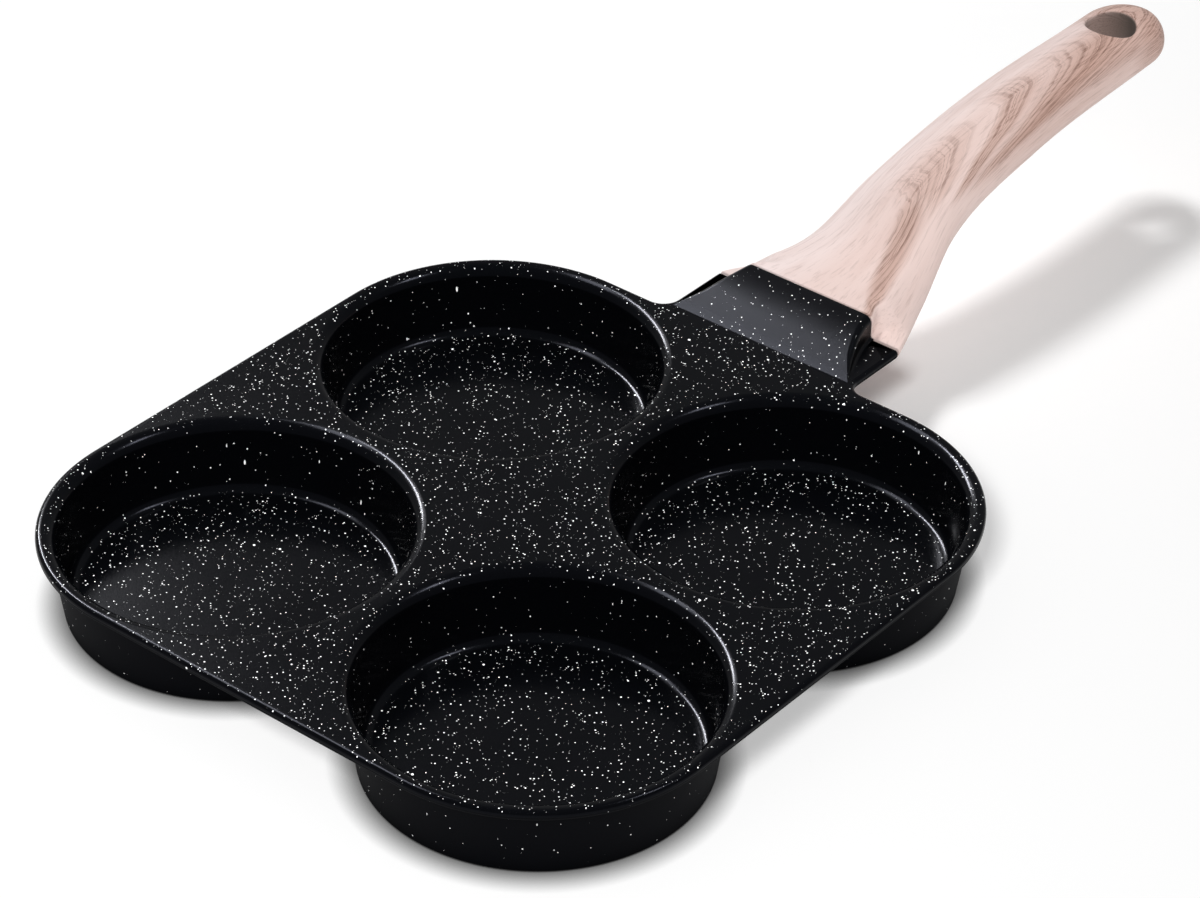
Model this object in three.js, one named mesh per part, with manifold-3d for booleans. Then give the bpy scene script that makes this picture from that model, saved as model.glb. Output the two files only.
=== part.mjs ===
// Four-cup egg pan: a die-cast body with four round cups, a steel disc pressed into the foot of each cup,
// and a moulded handle that slides over the casting's tenon and is held by one screw from below.
// Millimetres, +Z up, handle along +X, the feet of the cups on z = 0.

import * as THREE from "three";
import { mergeVertices } from "three/addons/utils/BufferGeometryUtils.js";
import Module from "manifold-3d";

const wasm = await Module();
wasm.setup();

// Pan body
const PAN_SIDE = 194.4; // side of the square deck
const CUP_WEB = 2.6; // deck left between the mouths of neighbouring cups
const RIM_WIDTH = 1.5; // deck left outside a cup at the corners
const PAN_HEIGHT = 22.3; // feet to the top of the deck
const DECK_THICKNESS = 2.7;
const WALL_THICKNESS = 1.8; // cup wall just below the deck
const FLOOR_THICKNESS = 1.5; // metal between a base disc and the food
const INNER_DRAFT = 8.5; // degrees, cup wall inside
const OUTER_DRAFT = 8; // degrees, cup wall outside
const MOUTH_FILLET = 3.6;
const FLOOR_FILLET = 3;
const FOOT_ROUND = 1; // outer corner at a cup's foot
const EDGE_ROUND = 0.7; // edges of the deck

// Base discs
const DISC_BORDER = 9.2; // flat foot left round a disc
const DISC_THICKNESS = 1.2;
const DISC_HOLE = 5;
const DISC_RINGS = 2; // rings of holes, about as far apart as the holes in a ring
const DISC_PLAIN_RIM = 9; // disc edge to the middle of the outermost holes

// Bracket: a tongue of the deck with a raised block above and a keel below
const TONGUE_LENGTH = 23.1; // pan side to the joint with the handle
const TONGUE_WIDTH = 59.6;
const TONGUE_FILLET = 5; // inside corner between tongue and pan side
const TONGUE_CORNER = 1; // its outer corners at the joint
const BLOCK_SETBACK = 1.2; // pan side to the crease where the block starts
const BLOCK_RISE = 6.6; // deck to the block's top at the joint
const BLOCK_FOOT_WIDTH = 57.8; // at the crease
const BLOCK_TOP_WIDTH = 41.2; // at the joint
const BLOCK_WAIST = 1.5; // power of the line in which its sides draw in, 1 for a straight one
const BLOCK_ROUND = 2; // upper corners
const BLOCK_FILLET = 1; // block to tongue
const BLOCK_ROUND_SHARE = 0.6; // of the block's height, where it is too low for the whole round
const KEEL_WIDTH = 46; // at the joint
const KEEL_TIP_WIDTH = 23; // where it dies out under the deck
const KEEL_TIP_DEPTH = 0.6; // below the middle of the deck, so the tip is buried
const KEEL_REACH = 14; // how far the keel runs under the deck

// Handle, by stretches from the joint: throat, neck, palm, grip, tail. The grip takes what is left.
const HANDLE_LENGTH = 157.8;
const THROAT_LENGTH = 24;
const NECK_LENGTH = 20;
const PALM_LENGTH = 41;
const TAIL_LENGTH = 17.8;
const TAIL_ROUND = 13.2; // length of the rounded end
const TAIL_BLUNT = 0.03; // how far the rounded end stops short of a point
const JOINT_SETTLE = 10; // length in which the joint's stepped outline becomes sloping sides
const THROAT_WIDTH = 40.8;
const NECK_WIDTH = 31;
const PALM_WIDTH = 27;
const GRIP_WIDTH = 25.4;
const THROAT_RISE = 9.4; // top of the handle above the deck, at the end of each stretch
const NECK_RISE = 19.9;
const PALM_RISE = 27.6;
const GRIP_RISE = 28.5;
const JOINT_DEPTH = 18.8; // top to underside
const THROAT_DEPTH = 19.5;
const NECK_DEPTH = 18.5;
const PALM_DEPTH = 17.5;
const GRIP_DEPTH = 15;
const TAIL_DEPTH = 14.2;
const HANG_HOLE = 15; // diameter
const HANG_HOLE_FROM_END = 18.4; // middle of the hole to the handle's end

// Form of the handle's sections: a power of 2 is an ellipse, and a higher power is squarer
const JOINT_BELT = 0.6; // height of the widest line, as a share of the depth
const GRIP_BELT = 0.47;
const UPPER_POWER = 2.3;
const JOINT_LOWER_POWER = 1.7;
const GRIP_LOWER_POWER = 2.2;

// Joint between casting and handle
const TENON_LENGTH = 27;
const TENON_WIDTH = 22;
const TENON_THICKNESS = 7;
const TENON_COVER = 2.6; // block top to tenon top
const SCREW_FROM_JOINT = 14;
const SCREW_DIAMETER = 4.8;
const SCREW_HEAD_DIAMETER = 9.4;
const SCREW_HEAD_HEIGHT = 2.6;
const SCREW_RECESS = 1.1; // width of the cross recess
const SCREW_RECESS_LENGTH = 5.6;
const LOCK_WASHER_THICKNESS = 1;
const LOCK_WASHER_SPLIT = 20; // degrees left open
const FLAT_WASHER_THICKNESS = 0.8;
const SEAT_WALL = 2.4; // handle material between flat washer and tenon

// Clearances
const GAP = 0.3; // between touching pieces
const WELL_CLEARANCE = 0.6; // round the screw head in its well
const SINK = 1; // how far a joined form runs into its neighbour
const OVERSHOOT = 5; // how far a cutter runs past the surface it opens
const MERGE_DISTANCE = 1e-4; // corners closer than this are one
const HALF_TURN = 180; // degrees

// Facets
const CUP_SEGMENTS = 40;
const CORNER_SEGMENTS = 12;
const FILLET_SEGMENTS = 3;
const EDGE_SEGMENTS = 2;
const HOLE_SEGMENTS = 8;
const SMALL_SEGMENTS = 20; // screw, washers and hang hole
const LOWER_SEGMENTS = 12; // round the underside of a handle section
const JOINT_STEPS = 4;
const JOINT_ARC_SEGMENTS = 2;
const HANDLE_STEPS = 24;
const TAIL_STEPS = 6;
const BRACKET_STEPS = 8;

// Places that follow from the sizes
const panHalf = PAN_SIDE / 2;
const mouthRadius = (panHalf - RIM_WIDTH - CUP_WEB / 2) / 2; // where the deck starts to fall into a cup
const cornerRadius = mouthRadius + RIM_WIDTH;
const cupPitch = 2 * mouthRadius + CUP_WEB; // between the centres of neighbouring cups
const deckTop = PAN_HEIGHT;
const deckUnderside = PAN_HEIGHT - DECK_THICKNESS;
const cupFloor = DISC_THICKNESS + GAP + FLOOR_THICKNESS;
const jointX = panHalf + TONGUE_LENGTH;
const handleX = jointX + GAP;
const gripLength = HANDLE_LENGTH - THROAT_LENGTH - NECK_LENGTH - PALM_LENGTH - TAIL_LENGTH;
const blockTop = deckTop + BLOCK_RISE;
const tenonTop = blockTop - TENON_COVER;
const tenonBottom = tenonTop - TENON_THICKNESS;
const seatZ = tenonBottom - GAP - SEAT_WALL;
const screwX = jointX + SCREW_FROM_JOINT;
const middleX = (handleX + HANDLE_LENGTH - panHalf) / 2; // middle of the whole pan's length

// A closed solid from a geometry whose shared corners are merged.
function solid(geometry) {
  const bare = new THREE.BufferGeometry();
  bare.setAttribute("position", geometry.getAttribute("position"));
  bare.setIndex(geometry.index);
  const merged = mergeVertices(bare, MERGE_DISTANCE);
  const corners = merged.index.array;
  const kept = [];
  for (let i = 0; i < corners.length; i += 3) {
    const [a, b, c] = corners.slice(i, i + 3);
    if (a !== b && b !== c && c !== a) kept.push(a, b, c);
  }
  return new wasm.Manifold(
    new wasm.Mesh({
      numProp: 3,
      vertProperties: merged.getAttribute("position").array,
      triVerts: new Uint32Array(kept),
    }),
  );
}

// A geometry from a finished solid.
function geometryOf(made) {
  const mesh = made.getMesh();
  const geometry = new THREE.BufferGeometry();
  geometry.setAttribute("position", new THREE.BufferAttribute(mesh.vertProperties, 3));
  geometry.setIndex(new THREE.BufferAttribute(mesh.triVerts, 1));
  geometry.computeVertexNormals();
  return geometry;
}

// Points of an arc from one angle to another, in degrees.
function arc(x, y, radius, from, to, segments) {
  const points = [];
  for (let i = 0; i <= segments; i++) {
    const angle = THREE.MathUtils.degToRad(from + ((to - from) * i) / segments);
    points.push(new THREE.Vector2(x + radius * Math.cos(angle), y + radius * Math.sin(angle)));
  }
  return points;
}

// A solid of revolution about a vertical axis. The profile holds radius and height, from the foot up.
function turned(profile, segments, x = 0, y = 0) {
  const geometry = new THREE.LatheGeometry(profile, segments);
  geometry.rotateX(Math.PI / 2);
  geometry.translate(x, y, 0);
  return solid(geometry);
}

// A closed skin over a row of sections. Each section is a list of points across the handle's axis.
function loft(places, sections) {
  const count = sections[0].length;
  const positions = [];
  const index = [];
  sections.forEach((section, row) => {
    section.forEach((p) => positions.push(places[row], p.x, p.y));
    if (row === 0) return;
    for (let i = 0; i < count; i++) {
      const j = (i + 1) % count;
      const a = (row - 1) * count;
      const b = row * count;
      index.push(a + i, a + j, b + j, a + i, b + j, b + i);
    }
  });
  const last = (sections.length - 1) * count;
  THREE.ShapeUtils.triangulateShape(sections[0], []).forEach(([a, b, c]) => index.push(a, c, b));
  THREE.ShapeUtils.triangulateShape(sections.at(-1), []).forEach(([a, b, c]) => {
    index.push(last + a, last + b, last + c);
  });
  const geometry = new THREE.BufferGeometry();
  geometry.setAttribute("position", new THREE.Float32BufferAttribute(positions, 3));
  geometry.setIndex(index);
  return solid(geometry);
}

// A plain block between two corners.
function block(low, high) {
  const size = new THREE.Vector3().subVectors(high, low);
  const geometry = new THREE.BoxGeometry(size.x, size.y, size.z);
  geometry.translate((low.x + high.x) / 2, (low.y + high.y) / 2, (low.z + high.z) / 2);
  return solid(geometry);
}

// A round bar between two heights.
function bar(radius, low, high, x, y, segments) {
  const geometry = new THREE.CylinderGeometry(radius, radius, high - low, segments);
  geometry.rotateX(Math.PI / 2);
  geometry.translate(x, y, (low + high) / 2);
  return solid(geometry);
}

const cupCentres = [
  [1, 1],
  [-1, 1],
  [-1, -1],
  [1, -1],
].map(([x, y]) => new THREE.Vector2((x * cupPitch) / 2, (y * cupPitch) / 2));

// The deck: a square with corners concentric to the cups, drawn out into the tongue.
function deckPlate() {
  const straight = panHalf - cornerRadius;
  const edge = Math.min(EDGE_ROUND, DECK_THICKNESS / 3);
  const tongue = TONGUE_WIDTH / 2;
  const filletX = panHalf + TONGUE_FILLET;
  const filletY = tongue + TONGUE_FILLET;
  const cornerX = jointX - TONGUE_CORNER;
  const cornerY = tongue - TONGUE_CORNER;
  const outline = new THREE.Shape();
  outline.moveTo(panHalf, -straight);
  outline.lineTo(panHalf, -filletY);
  outline.absarc(filletX, -filletY, TONGUE_FILLET, Math.PI, Math.PI / 2, true);
  outline.absarc(cornerX, -cornerY, TONGUE_CORNER, -Math.PI / 2, 0);
  outline.absarc(cornerX, cornerY, TONGUE_CORNER, 0, Math.PI / 2);
  outline.lineTo(filletX, tongue);
  outline.absarc(filletX, filletY, TONGUE_FILLET, -Math.PI / 2, -Math.PI, true);
  outline.lineTo(panHalf, straight);
  outline.absarc(straight, straight, cornerRadius, 0, Math.PI / 2);
  outline.absarc(-straight, straight, cornerRadius, Math.PI / 2, Math.PI);
  outline.absarc(-straight, -straight, cornerRadius, Math.PI, 1.5 * Math.PI);
  outline.absarc(straight, -straight, cornerRadius, 1.5 * Math.PI, 2 * Math.PI);
  const geometry = new THREE.ExtrudeGeometry(outline, {
    depth: DECK_THICKNESS - 2 * edge,
    bevelThickness: edge,
    bevelSize: edge,
    bevelOffset: -edge,
    bevelSegments: EDGE_SEGMENTS,
    curveSegments: CORNER_SEGMENTS,
  });
  geometry.translate(0, 0, deckUnderside + edge);
  return solid(geometry);
}

// Radius of the cup's inner wall at a height.
function innerRadius(z) {
  const slope = Math.tan(THREE.MathUtils.degToRad(INNER_DRAFT));
  return mouthRadius - MOUTH_FILLET - (deckTop - MOUTH_FILLET - z) * slope;
}

// Radius of the cup's outer wall at a height.
function outerRadius(z) {
  const slope = Math.tan(THREE.MathUtils.degToRad(OUTER_DRAFT));
  return innerRadius(deckUnderside) + WALL_THICKNESS - (deckUnderside - z) * slope;
}

const footRadius = outerRadius(FOOT_ROUND) - FOOT_ROUND; // flat part of a cup's foot
const discRadius = footRadius - DISC_BORDER;

// The outside of a cup, from its foot into the deck.
function cupShell(centre) {
  const profile = [
    new THREE.Vector2(0, 0),
    ...arc(footRadius, FOOT_ROUND, FOOT_ROUND, -90, 0, FILLET_SEGMENTS),
    new THREE.Vector2(outerRadius(deckUnderside), deckUnderside),
    new THREE.Vector2(outerRadius(deckUnderside), deckUnderside + DECK_THICKNESS / 2),
    new THREE.Vector2(0, deckUnderside + DECK_THICKNESS / 2),
  ];
  return turned(profile, CUP_SEGMENTS, centre.x, centre.y);
}

// The space inside a cup: flat floor, floor fillet, drafted wall and the fillet into the deck.
function cupSpace(centre) {
  const floorRadius = innerRadius(cupFloor + FLOOR_FILLET) - FLOOR_FILLET;
  const mouthZ = deckTop - MOUTH_FILLET;
  const profile = [
    new THREE.Vector2(0, cupFloor),
    ...arc(floorRadius, cupFloor + FLOOR_FILLET, FLOOR_FILLET, -90, -INNER_DRAFT, FILLET_SEGMENTS),
    ...arc(mouthRadius, mouthZ, MOUTH_FILLET, HALF_TURN - INNER_DRAFT, 90, FILLET_SEGMENTS),
    new THREE.Vector2(mouthRadius, deckTop + OVERSHOOT),
    new THREE.Vector2(0, deckTop + OVERSHOOT),
  ];
  return turned(profile, CUP_SEGMENTS, centre.x, centre.y);
}

// The recess that a base disc is pressed into.
function discRecess(centre) {
  const top = DISC_THICKNESS + GAP;
  return bar(discRadius + GAP, -OVERSHOOT, top, centre.x, centre.y, CUP_SEGMENTS);
}

// The block that rises from the crease to the joint, with rounded shoulders and a fillet onto the tongue.
function bracketBlock() {
  const creaseX = panHalf + BLOCK_SETBACK;
  const places = [];
  const sections = [];
  for (let i = 0; i <= BRACKET_STEPS; i++) {
    const t = i / BRACKET_STEPS;
    const rise = BLOCK_RISE * Math.sin((t * Math.PI) / 2);
    const drawn = 1 - (1 - t) ** BLOCK_WAIST;
    const half = THREE.MathUtils.lerp(BLOCK_FOOT_WIDTH, BLOCK_TOP_WIDTH, drawn) / 2;
    const round = Math.min(BLOCK_ROUND, BLOCK_ROUND_SHARE * rise);
    const fillet = Math.min(BLOCK_FILLET, rise - round);
    const foot = new THREE.Vector2(half + fillet, deckTop - SINK);
    const right = [
      foot,
      ...arc(half + fillet, deckTop + fillet, fillet, 270, 180, FILLET_SEGMENTS),
      ...arc(half - round, deckTop + rise - round, round, 0, 90, FILLET_SEGMENTS),
    ];
    const left = right.map((p) => new THREE.Vector2(-p.x, p.y)).reverse();
    places.push(THREE.MathUtils.lerp(creaseX, jointX, t));
    sections.push([...right, ...left]);
  }
  return loft(places, sections);
}

// Half of a section: points from one side to the other, above or below its widest line.
function halfOval(halfWidth, height, power, segments) {
  const points = [];
  for (let i = 0; i <= segments; i++) {
    const angle = (i / segments) * Math.PI;
    const across = Math.sign(Math.cos(angle)) * Math.abs(Math.cos(angle)) ** (2 / power);
    points.push(new THREE.Vector2(halfWidth * across, height * Math.sin(angle) ** (2 / power)));
  }
  return points;
}

// The keel under the tongue: it carries the tenon and dies out under the deck.
function bracketKeel() {
  const belt = deckUnderside + DECK_THICKNESS / 2;
  const depth = belt - (blockTop - JOINT_DEPTH) - GAP;
  const startX = panHalf - KEEL_REACH;
  const places = [];
  const sections = [];
  for (let i = 0; i <= BRACKET_STEPS; i++) {
    const t = i / BRACKET_STEPS;
    const swell = Math.sin((t * Math.PI) / 2) ** 2;
    const half = THREE.MathUtils.lerp(KEEL_TIP_WIDTH, KEEL_WIDTH, swell) / 2;
    const drop = THREE.MathUtils.lerp(KEEL_TIP_DEPTH, depth, swell);
    const lower = halfOval(half, drop, GRIP_LOWER_POWER, LOWER_SEGMENTS);
    places.push(THREE.MathUtils.lerp(startX, jointX, t));
    sections.push(lower.map((p) => new THREE.Vector2(p.x, belt - p.y)).reverse());
  }
  return loft(places, sections);
}

// The tenon that the handle slides over, tapped for the screw.
function bracketTenon() {
  const low = new THREE.Vector3(jointX - SINK, -TENON_WIDTH / 2, tenonBottom);
  const high = new THREE.Vector3(jointX + TENON_LENGTH, TENON_WIDTH / 2, tenonTop);
  const tap = SCREW_DIAMETER / 2 + GAP;
  return block(low, high).subtract(
    bar(tap, tenonBottom - OVERSHOOT, tenonTop + OVERSHOOT, screwX, 0, SMALL_SEGMENTS),
  );
}

function panBody() {
  let body = deckPlate().add(bracketBlock()).add(bracketKeel()).add(bracketTenon());
  cupCentres.forEach((centre) => {
    body = body.add(cupShell(centre));
  });
  cupCentres.forEach((centre) => {
    body = body.subtract(cupSpace(centre)).subtract(discRecess(centre));
  });
  return geometryOf(body);
}

// A steel disc with rings of holes, flush with the cup's foot.
function baseDisc() {
  const hole = DISC_HOLE / 2;
  const outline = new THREE.Shape(arc(0, 0, discRadius, 0, 360, CUP_SEGMENTS).slice(0, -1));
  const spacing = (discRadius - DISC_PLAIN_RIM) / DISC_RINGS;
  for (let k = 1; k <= DISC_RINGS; k++) {
    const ring = k * spacing;
    const count = Math.round(2 * Math.PI * k);
    for (let i = 0; i < count; i++) {
      const angle = (2 * Math.PI * i) / count;
      const rim = arc(ring * Math.cos(angle), ring * Math.sin(angle), hole, 0, 360, HOLE_SEGMENTS);
      outline.holes.push(new THREE.Path(rim.slice(0, -1)));
    }
  }
  return new THREE.ExtrudeGeometry(outline, { depth: DISC_THICKNESS, bevelEnabled: false });
}

// A smooth line through values at the ends of the handle's stretches.
const stretchEnds = [THROAT_LENGTH, NECK_LENGTH, PALM_LENGTH, gripLength, TAIL_LENGTH].reduce(
  (ends, length) => [...ends, ends.at(-1) + length],
  [0],
);
function lineAlong(values, ending = THREE.ZeroCurvatureEnding) {
  const line = new THREE.CubicInterpolant(stretchEnds, values, 1);
  line.settings = { endingStart: ending, endingEnd: THREE.ZeroCurvatureEnding };
  return (along) => line.evaluate(along)[0];
}
const widthAt = lineAlong([TONGUE_WIDTH, THROAT_WIDTH, NECK_WIDTH, PALM_WIDTH, GRIP_WIDTH, GRIP_WIDTH]);
const riseAt = lineAlong(
  [BLOCK_RISE, THROAT_RISE, NECK_RISE, PALM_RISE, GRIP_RISE, GRIP_RISE],
  THREE.ZeroSlopeEnding,
);
const depthAt = lineAlong([JOINT_DEPTH, THROAT_DEPTH, NECK_DEPTH, PALM_DEPTH, GRIP_DEPTH, TAIL_DEPTH]);

// The upper outline of the casting's end: the tongue's edge, the step up the block's side and its flat top.
function jointOutline(half, middle, top) {
  const side = (half * BLOCK_TOP_WIDTH) / TONGUE_WIDTH;
  const flat = side - BLOCK_ROUND;
  const right = [
    new THREE.Vector2(half, middle),
    new THREE.Vector2(half - EDGE_ROUND, deckTop),
    new THREE.Vector2((half + side) / 2, deckTop),
    ...arc(side + BLOCK_FILLET, deckTop + BLOCK_FILLET, BLOCK_FILLET, 270, 180, JOINT_ARC_SEGMENTS),
    ...arc(flat, top - BLOCK_ROUND, BLOCK_ROUND, 0, 90, JOINT_ARC_SEGMENTS),
    new THREE.Vector2(flat / 2, top),
  ];
  const left = right.map((p) => new THREE.Vector2(-p.x, p.y)).reverse();
  return [...right, new THREE.Vector2(0, top), ...left];
}

// One section of the handle: at the joint the casting's own outline, then sloping sides, further on an oval.
function handleSection(along) {
  const settled = THREE.MathUtils.smoothstep(along, 0, JOINT_SETTLE);
  const roundness = Math.min(1, along / (THROAT_LENGTH + NECK_LENGTH / 2));
  const tail = Math.max(0, along - (HANDLE_LENGTH - TAIL_ROUND)) / TAIL_ROUND;
  const closing = Math.sqrt(Math.max(0, 1 - tail * tail));
  const half = (widthAt(along) / 2) * closing;
  const depth = depthAt(along) * Math.sqrt(closing);
  const belt = THREE.MathUtils.lerp(JOINT_BELT, GRIP_BELT, roundness);
  const middle = deckTop + riseAt(along) - depthAt(along) * (1 - belt);
  const power = THREE.MathUtils.lerp(JOINT_LOWER_POWER, GRIP_LOWER_POWER, roundness);
  const flat = BLOCK_TOP_WIDTH / TONGUE_WIDTH;
  const joint = jointOutline(half, middle, middle + depth * (1 - belt));
  const upper = halfOval(half, depth * (1 - belt), UPPER_POWER, joint.length - 1).map((p, i) => {
    const slope = Math.min(1, (1 - Math.abs(p.x) / half) / (1 - flat));
    const roof = depth * (1 - belt) * slope;
    const sloped = new THREE.Vector2(p.x, middle + THREE.MathUtils.lerp(roof, p.y, roundness));
    return joint[i].lerp(sloped, settled);
  });
  const lower = halfOval(half, depth * belt, power, LOWER_SEGMENTS)
    .slice(1, -1)
    .map((p) => new THREE.Vector2(p.x, middle - p.y));
  return [...upper, ...lower.reverse()];
}

// The handle's outer form, closed to a blunt rounded end.
function handleForm() {
  const places = [];
  const tailStart = HANDLE_LENGTH - TAIL_ROUND;
  for (let i = 0; i < JOINT_STEPS; i++) places.push((JOINT_SETTLE * i) / JOINT_STEPS);
  for (let i = 0; i <= HANDLE_STEPS; i++) {
    places.push(THREE.MathUtils.lerp(JOINT_SETTLE, tailStart, i / HANDLE_STEPS));
  }
  for (let i = 1; i <= TAIL_STEPS; i++) {
    const angle = (i / TAIL_STEPS) * (Math.PI / 2);
    places.push(tailStart + (TAIL_ROUND - TAIL_BLUNT) * Math.sin(angle));
  }
  const sections = places.map((along) => handleSection(along));
  return loft(
    places.map((along) => handleX + along),
    sections,
  );
}

// The round hole that the pan hangs by.
function hangHole() {
  const top = deckTop + GRIP_RISE + OVERSHOOT;
  const bottom = deckTop + GRIP_RISE - GRIP_DEPTH - OVERSHOOT;
  const x = handleX + HANDLE_LENGTH - HANG_HOLE_FROM_END;
  return bar(HANG_HOLE / 2, bottom, top, x, 0, SMALL_SEGMENTS);
}

// The socket over the tenon, with the screw's hole and the well for its head.
function tenonSocket() {
  const low = new THREE.Vector3(jointX - SINK, -TENON_WIDTH / 2 - GAP, tenonBottom - GAP);
  const high = new THREE.Vector3(jointX + TENON_LENGTH + GAP, TENON_WIDTH / 2 + GAP, tenonTop + GAP);
  const wellFloor = blockTop - THROAT_DEPTH - OVERSHOOT;
  const hole = bar(SCREW_DIAMETER / 2 + GAP, seatZ - GAP, tenonTop, screwX, 0, SMALL_SEGMENTS);
  const wellRadius = SCREW_HEAD_DIAMETER / 2 + WELL_CLEARANCE;
  const well = bar(wellRadius, wellFloor, seatZ, screwX, 0, SMALL_SEGMENTS);
  return block(low, high).add(hole).add(well);
}

function handle() {
  return geometryOf(handleForm().subtract(hangHole()).subtract(tenonSocket()));
}

// Heights of the fastening stack, from the seat in the handle downwards.
const flatWasherTop = seatZ - GAP;
const lockWasherTop = flatWasherTop - FLAT_WASHER_THICKNESS - GAP;
const screwHeadTop = lockWasherTop - LOCK_WASHER_THICKNESS - GAP;

// A cross-recessed screw, head down, its shank up through the handle wall into the tenon.
function handleScrew() {
  const head = SCREW_HEAD_DIAMETER / 2;
  const shank = SCREW_DIAMETER / 2;
  const bottom = screwHeadTop - SCREW_HEAD_HEIGHT;
  const round = SCREW_HEAD_HEIGHT / 2;
  const profile = [
    new THREE.Vector2(0, bottom),
    ...arc(head - round, bottom + round, round, -90, 0, FILLET_SEGMENTS),
    new THREE.Vector2(head, screwHeadTop),
    new THREE.Vector2(shank, screwHeadTop),
    new THREE.Vector2(shank, tenonTop - SINK),
    new THREE.Vector2(0, tenonTop - SINK),
  ];
  const slotHalf = new THREE.Vector3(SCREW_RECESS_LENGTH / 2, SCREW_RECESS / 2, round);
  const centre = new THREE.Vector3(screwX, 0, bottom);
  const slot = block(centre.clone().sub(slotHalf), centre.clone().add(slotHalf));
  slotHalf.set(slotHalf.y, slotHalf.x, slotHalf.z);
  const crossSlot = block(centre.clone().sub(slotHalf), centre.clone().add(slotHalf));
  return geometryOf(turned(profile, SMALL_SEGMENTS, screwX, 0).subtract(slot).subtract(crossSlot));
}

// A flat ring under the screw head; a split ring leaves an opening in its circle.
function washer(thickness, splitDegrees) {
  const outer = SCREW_HEAD_DIAMETER / 2;
  const inner = SCREW_DIAMETER / 2 + GAP;
  const outline = new THREE.Shape();
  if (splitDegrees === 0) {
    outline.setFromPoints(arc(0, 0, outer, 0, 360, SMALL_SEGMENTS).slice(0, -1));
    outline.holes.push(new THREE.Path(arc(0, 0, inner, 0, 360, SMALL_SEGMENTS).slice(0, -1)));
  } else {
    outline.setFromPoints([
      ...arc(0, 0, outer, splitDegrees, 360, SMALL_SEGMENTS),
      ...arc(0, 0, inner, 360, splitDegrees, SMALL_SEGMENTS),
    ]);
  }
  return new THREE.ExtrudeGeometry(outline, { depth: thickness, bevelEnabled: false });
}

// Finishes
const coating = { color: 0x15151a, roughness: 0.5, metalness: 0.1 };
const woodPrint = { color: 0xe4c6b8, roughness: 0.5, metalness: 0 };
const discSteel = { color: 0xa9abad, roughness: 0.35, metalness: 1 };
const fastenerSteel = { color: 0xc4c6c8, roughness: 0.3, metalness: 1 };

const pan = new THREE.Group();
pan.position.x = -middleX;

function add(name, geometry, finish, x = 0, y = 0, z = 0) {
  const mesh = new THREE.Mesh(geometry, new THREE.MeshStandardMaterial(finish));
  mesh.name = name;
  mesh.position.set(x, y, z);
  pan.add(mesh);
}

add("pan_body", panBody(), coating);
cupCentres.forEach((centre, i) => {
  add(`base_disc_${i + 1}`, baseDisc(), discSteel, centre.x, centre.y);
});
add("handle", handle(), woodPrint);
add("handle_screw", handleScrew(), fastenerSteel);
const lockWasher = washer(LOCK_WASHER_THICKNESS, LOCK_WASHER_SPLIT);
add("lock_washer", lockWasher, fastenerSteel, screwX, 0, screwHeadTop + GAP);
const flatWasher = washer(FLAT_WASHER_THICKNESS, 0);
add("flat_washer", flatWasher, fastenerSteel, screwX, 0, lockWasherTop + GAP);

const root = new THREE.Group();
root.add(pan);
export default root;
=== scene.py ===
# %% [markdown]
# # A four-cup egg pan
# The pan is one aluminium casting with four round cups sunk in a flat deck, a steel disc pressed into the foot of
# each cup, and a moulded handle with a wood print that slides over a tenon and is held by one screw from below. The
# measured model is loaded first, as a frame that nothing moves. Every piece below is then modelled finely in the same
# place, and stands for the plain piece of the frame.

# %% Load the frame
import bpy
import bmesh
import math
import numpy as np
from mathutils import Matrix, Vector


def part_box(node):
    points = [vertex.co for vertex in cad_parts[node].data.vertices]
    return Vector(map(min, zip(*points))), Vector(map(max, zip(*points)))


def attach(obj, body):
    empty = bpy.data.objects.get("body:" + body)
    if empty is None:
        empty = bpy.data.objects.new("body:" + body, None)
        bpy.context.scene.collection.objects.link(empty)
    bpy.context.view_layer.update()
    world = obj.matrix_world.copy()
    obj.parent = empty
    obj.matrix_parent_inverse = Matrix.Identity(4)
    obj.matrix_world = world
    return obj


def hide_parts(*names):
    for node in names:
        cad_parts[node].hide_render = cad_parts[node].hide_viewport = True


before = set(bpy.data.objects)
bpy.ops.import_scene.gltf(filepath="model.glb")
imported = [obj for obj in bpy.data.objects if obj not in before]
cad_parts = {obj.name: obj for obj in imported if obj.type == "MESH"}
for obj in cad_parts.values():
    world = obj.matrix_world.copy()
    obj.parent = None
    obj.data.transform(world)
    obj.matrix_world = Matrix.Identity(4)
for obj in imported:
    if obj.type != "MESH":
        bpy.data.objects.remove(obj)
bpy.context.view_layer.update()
MM = 0.001
ROOT = "root"

# %% [markdown]
# ## Sizes
# A fine model can only lie on the measured one if it repeats the same driving sizes. What the frame can tell is read
# from its boxes: the side of the deck, the middle of each cup and where the handle starts. The rest is written once.

# %% Sizes of the pan
pan_low, pan_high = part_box("pan_body")
handle_low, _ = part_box("handle")
disc_boxes = [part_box(f"base_disc_{n}") for n in (1, 2, 3, 4)]
cup_centres = [(low + high) / 2 for low, high in disc_boxes]

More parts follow.
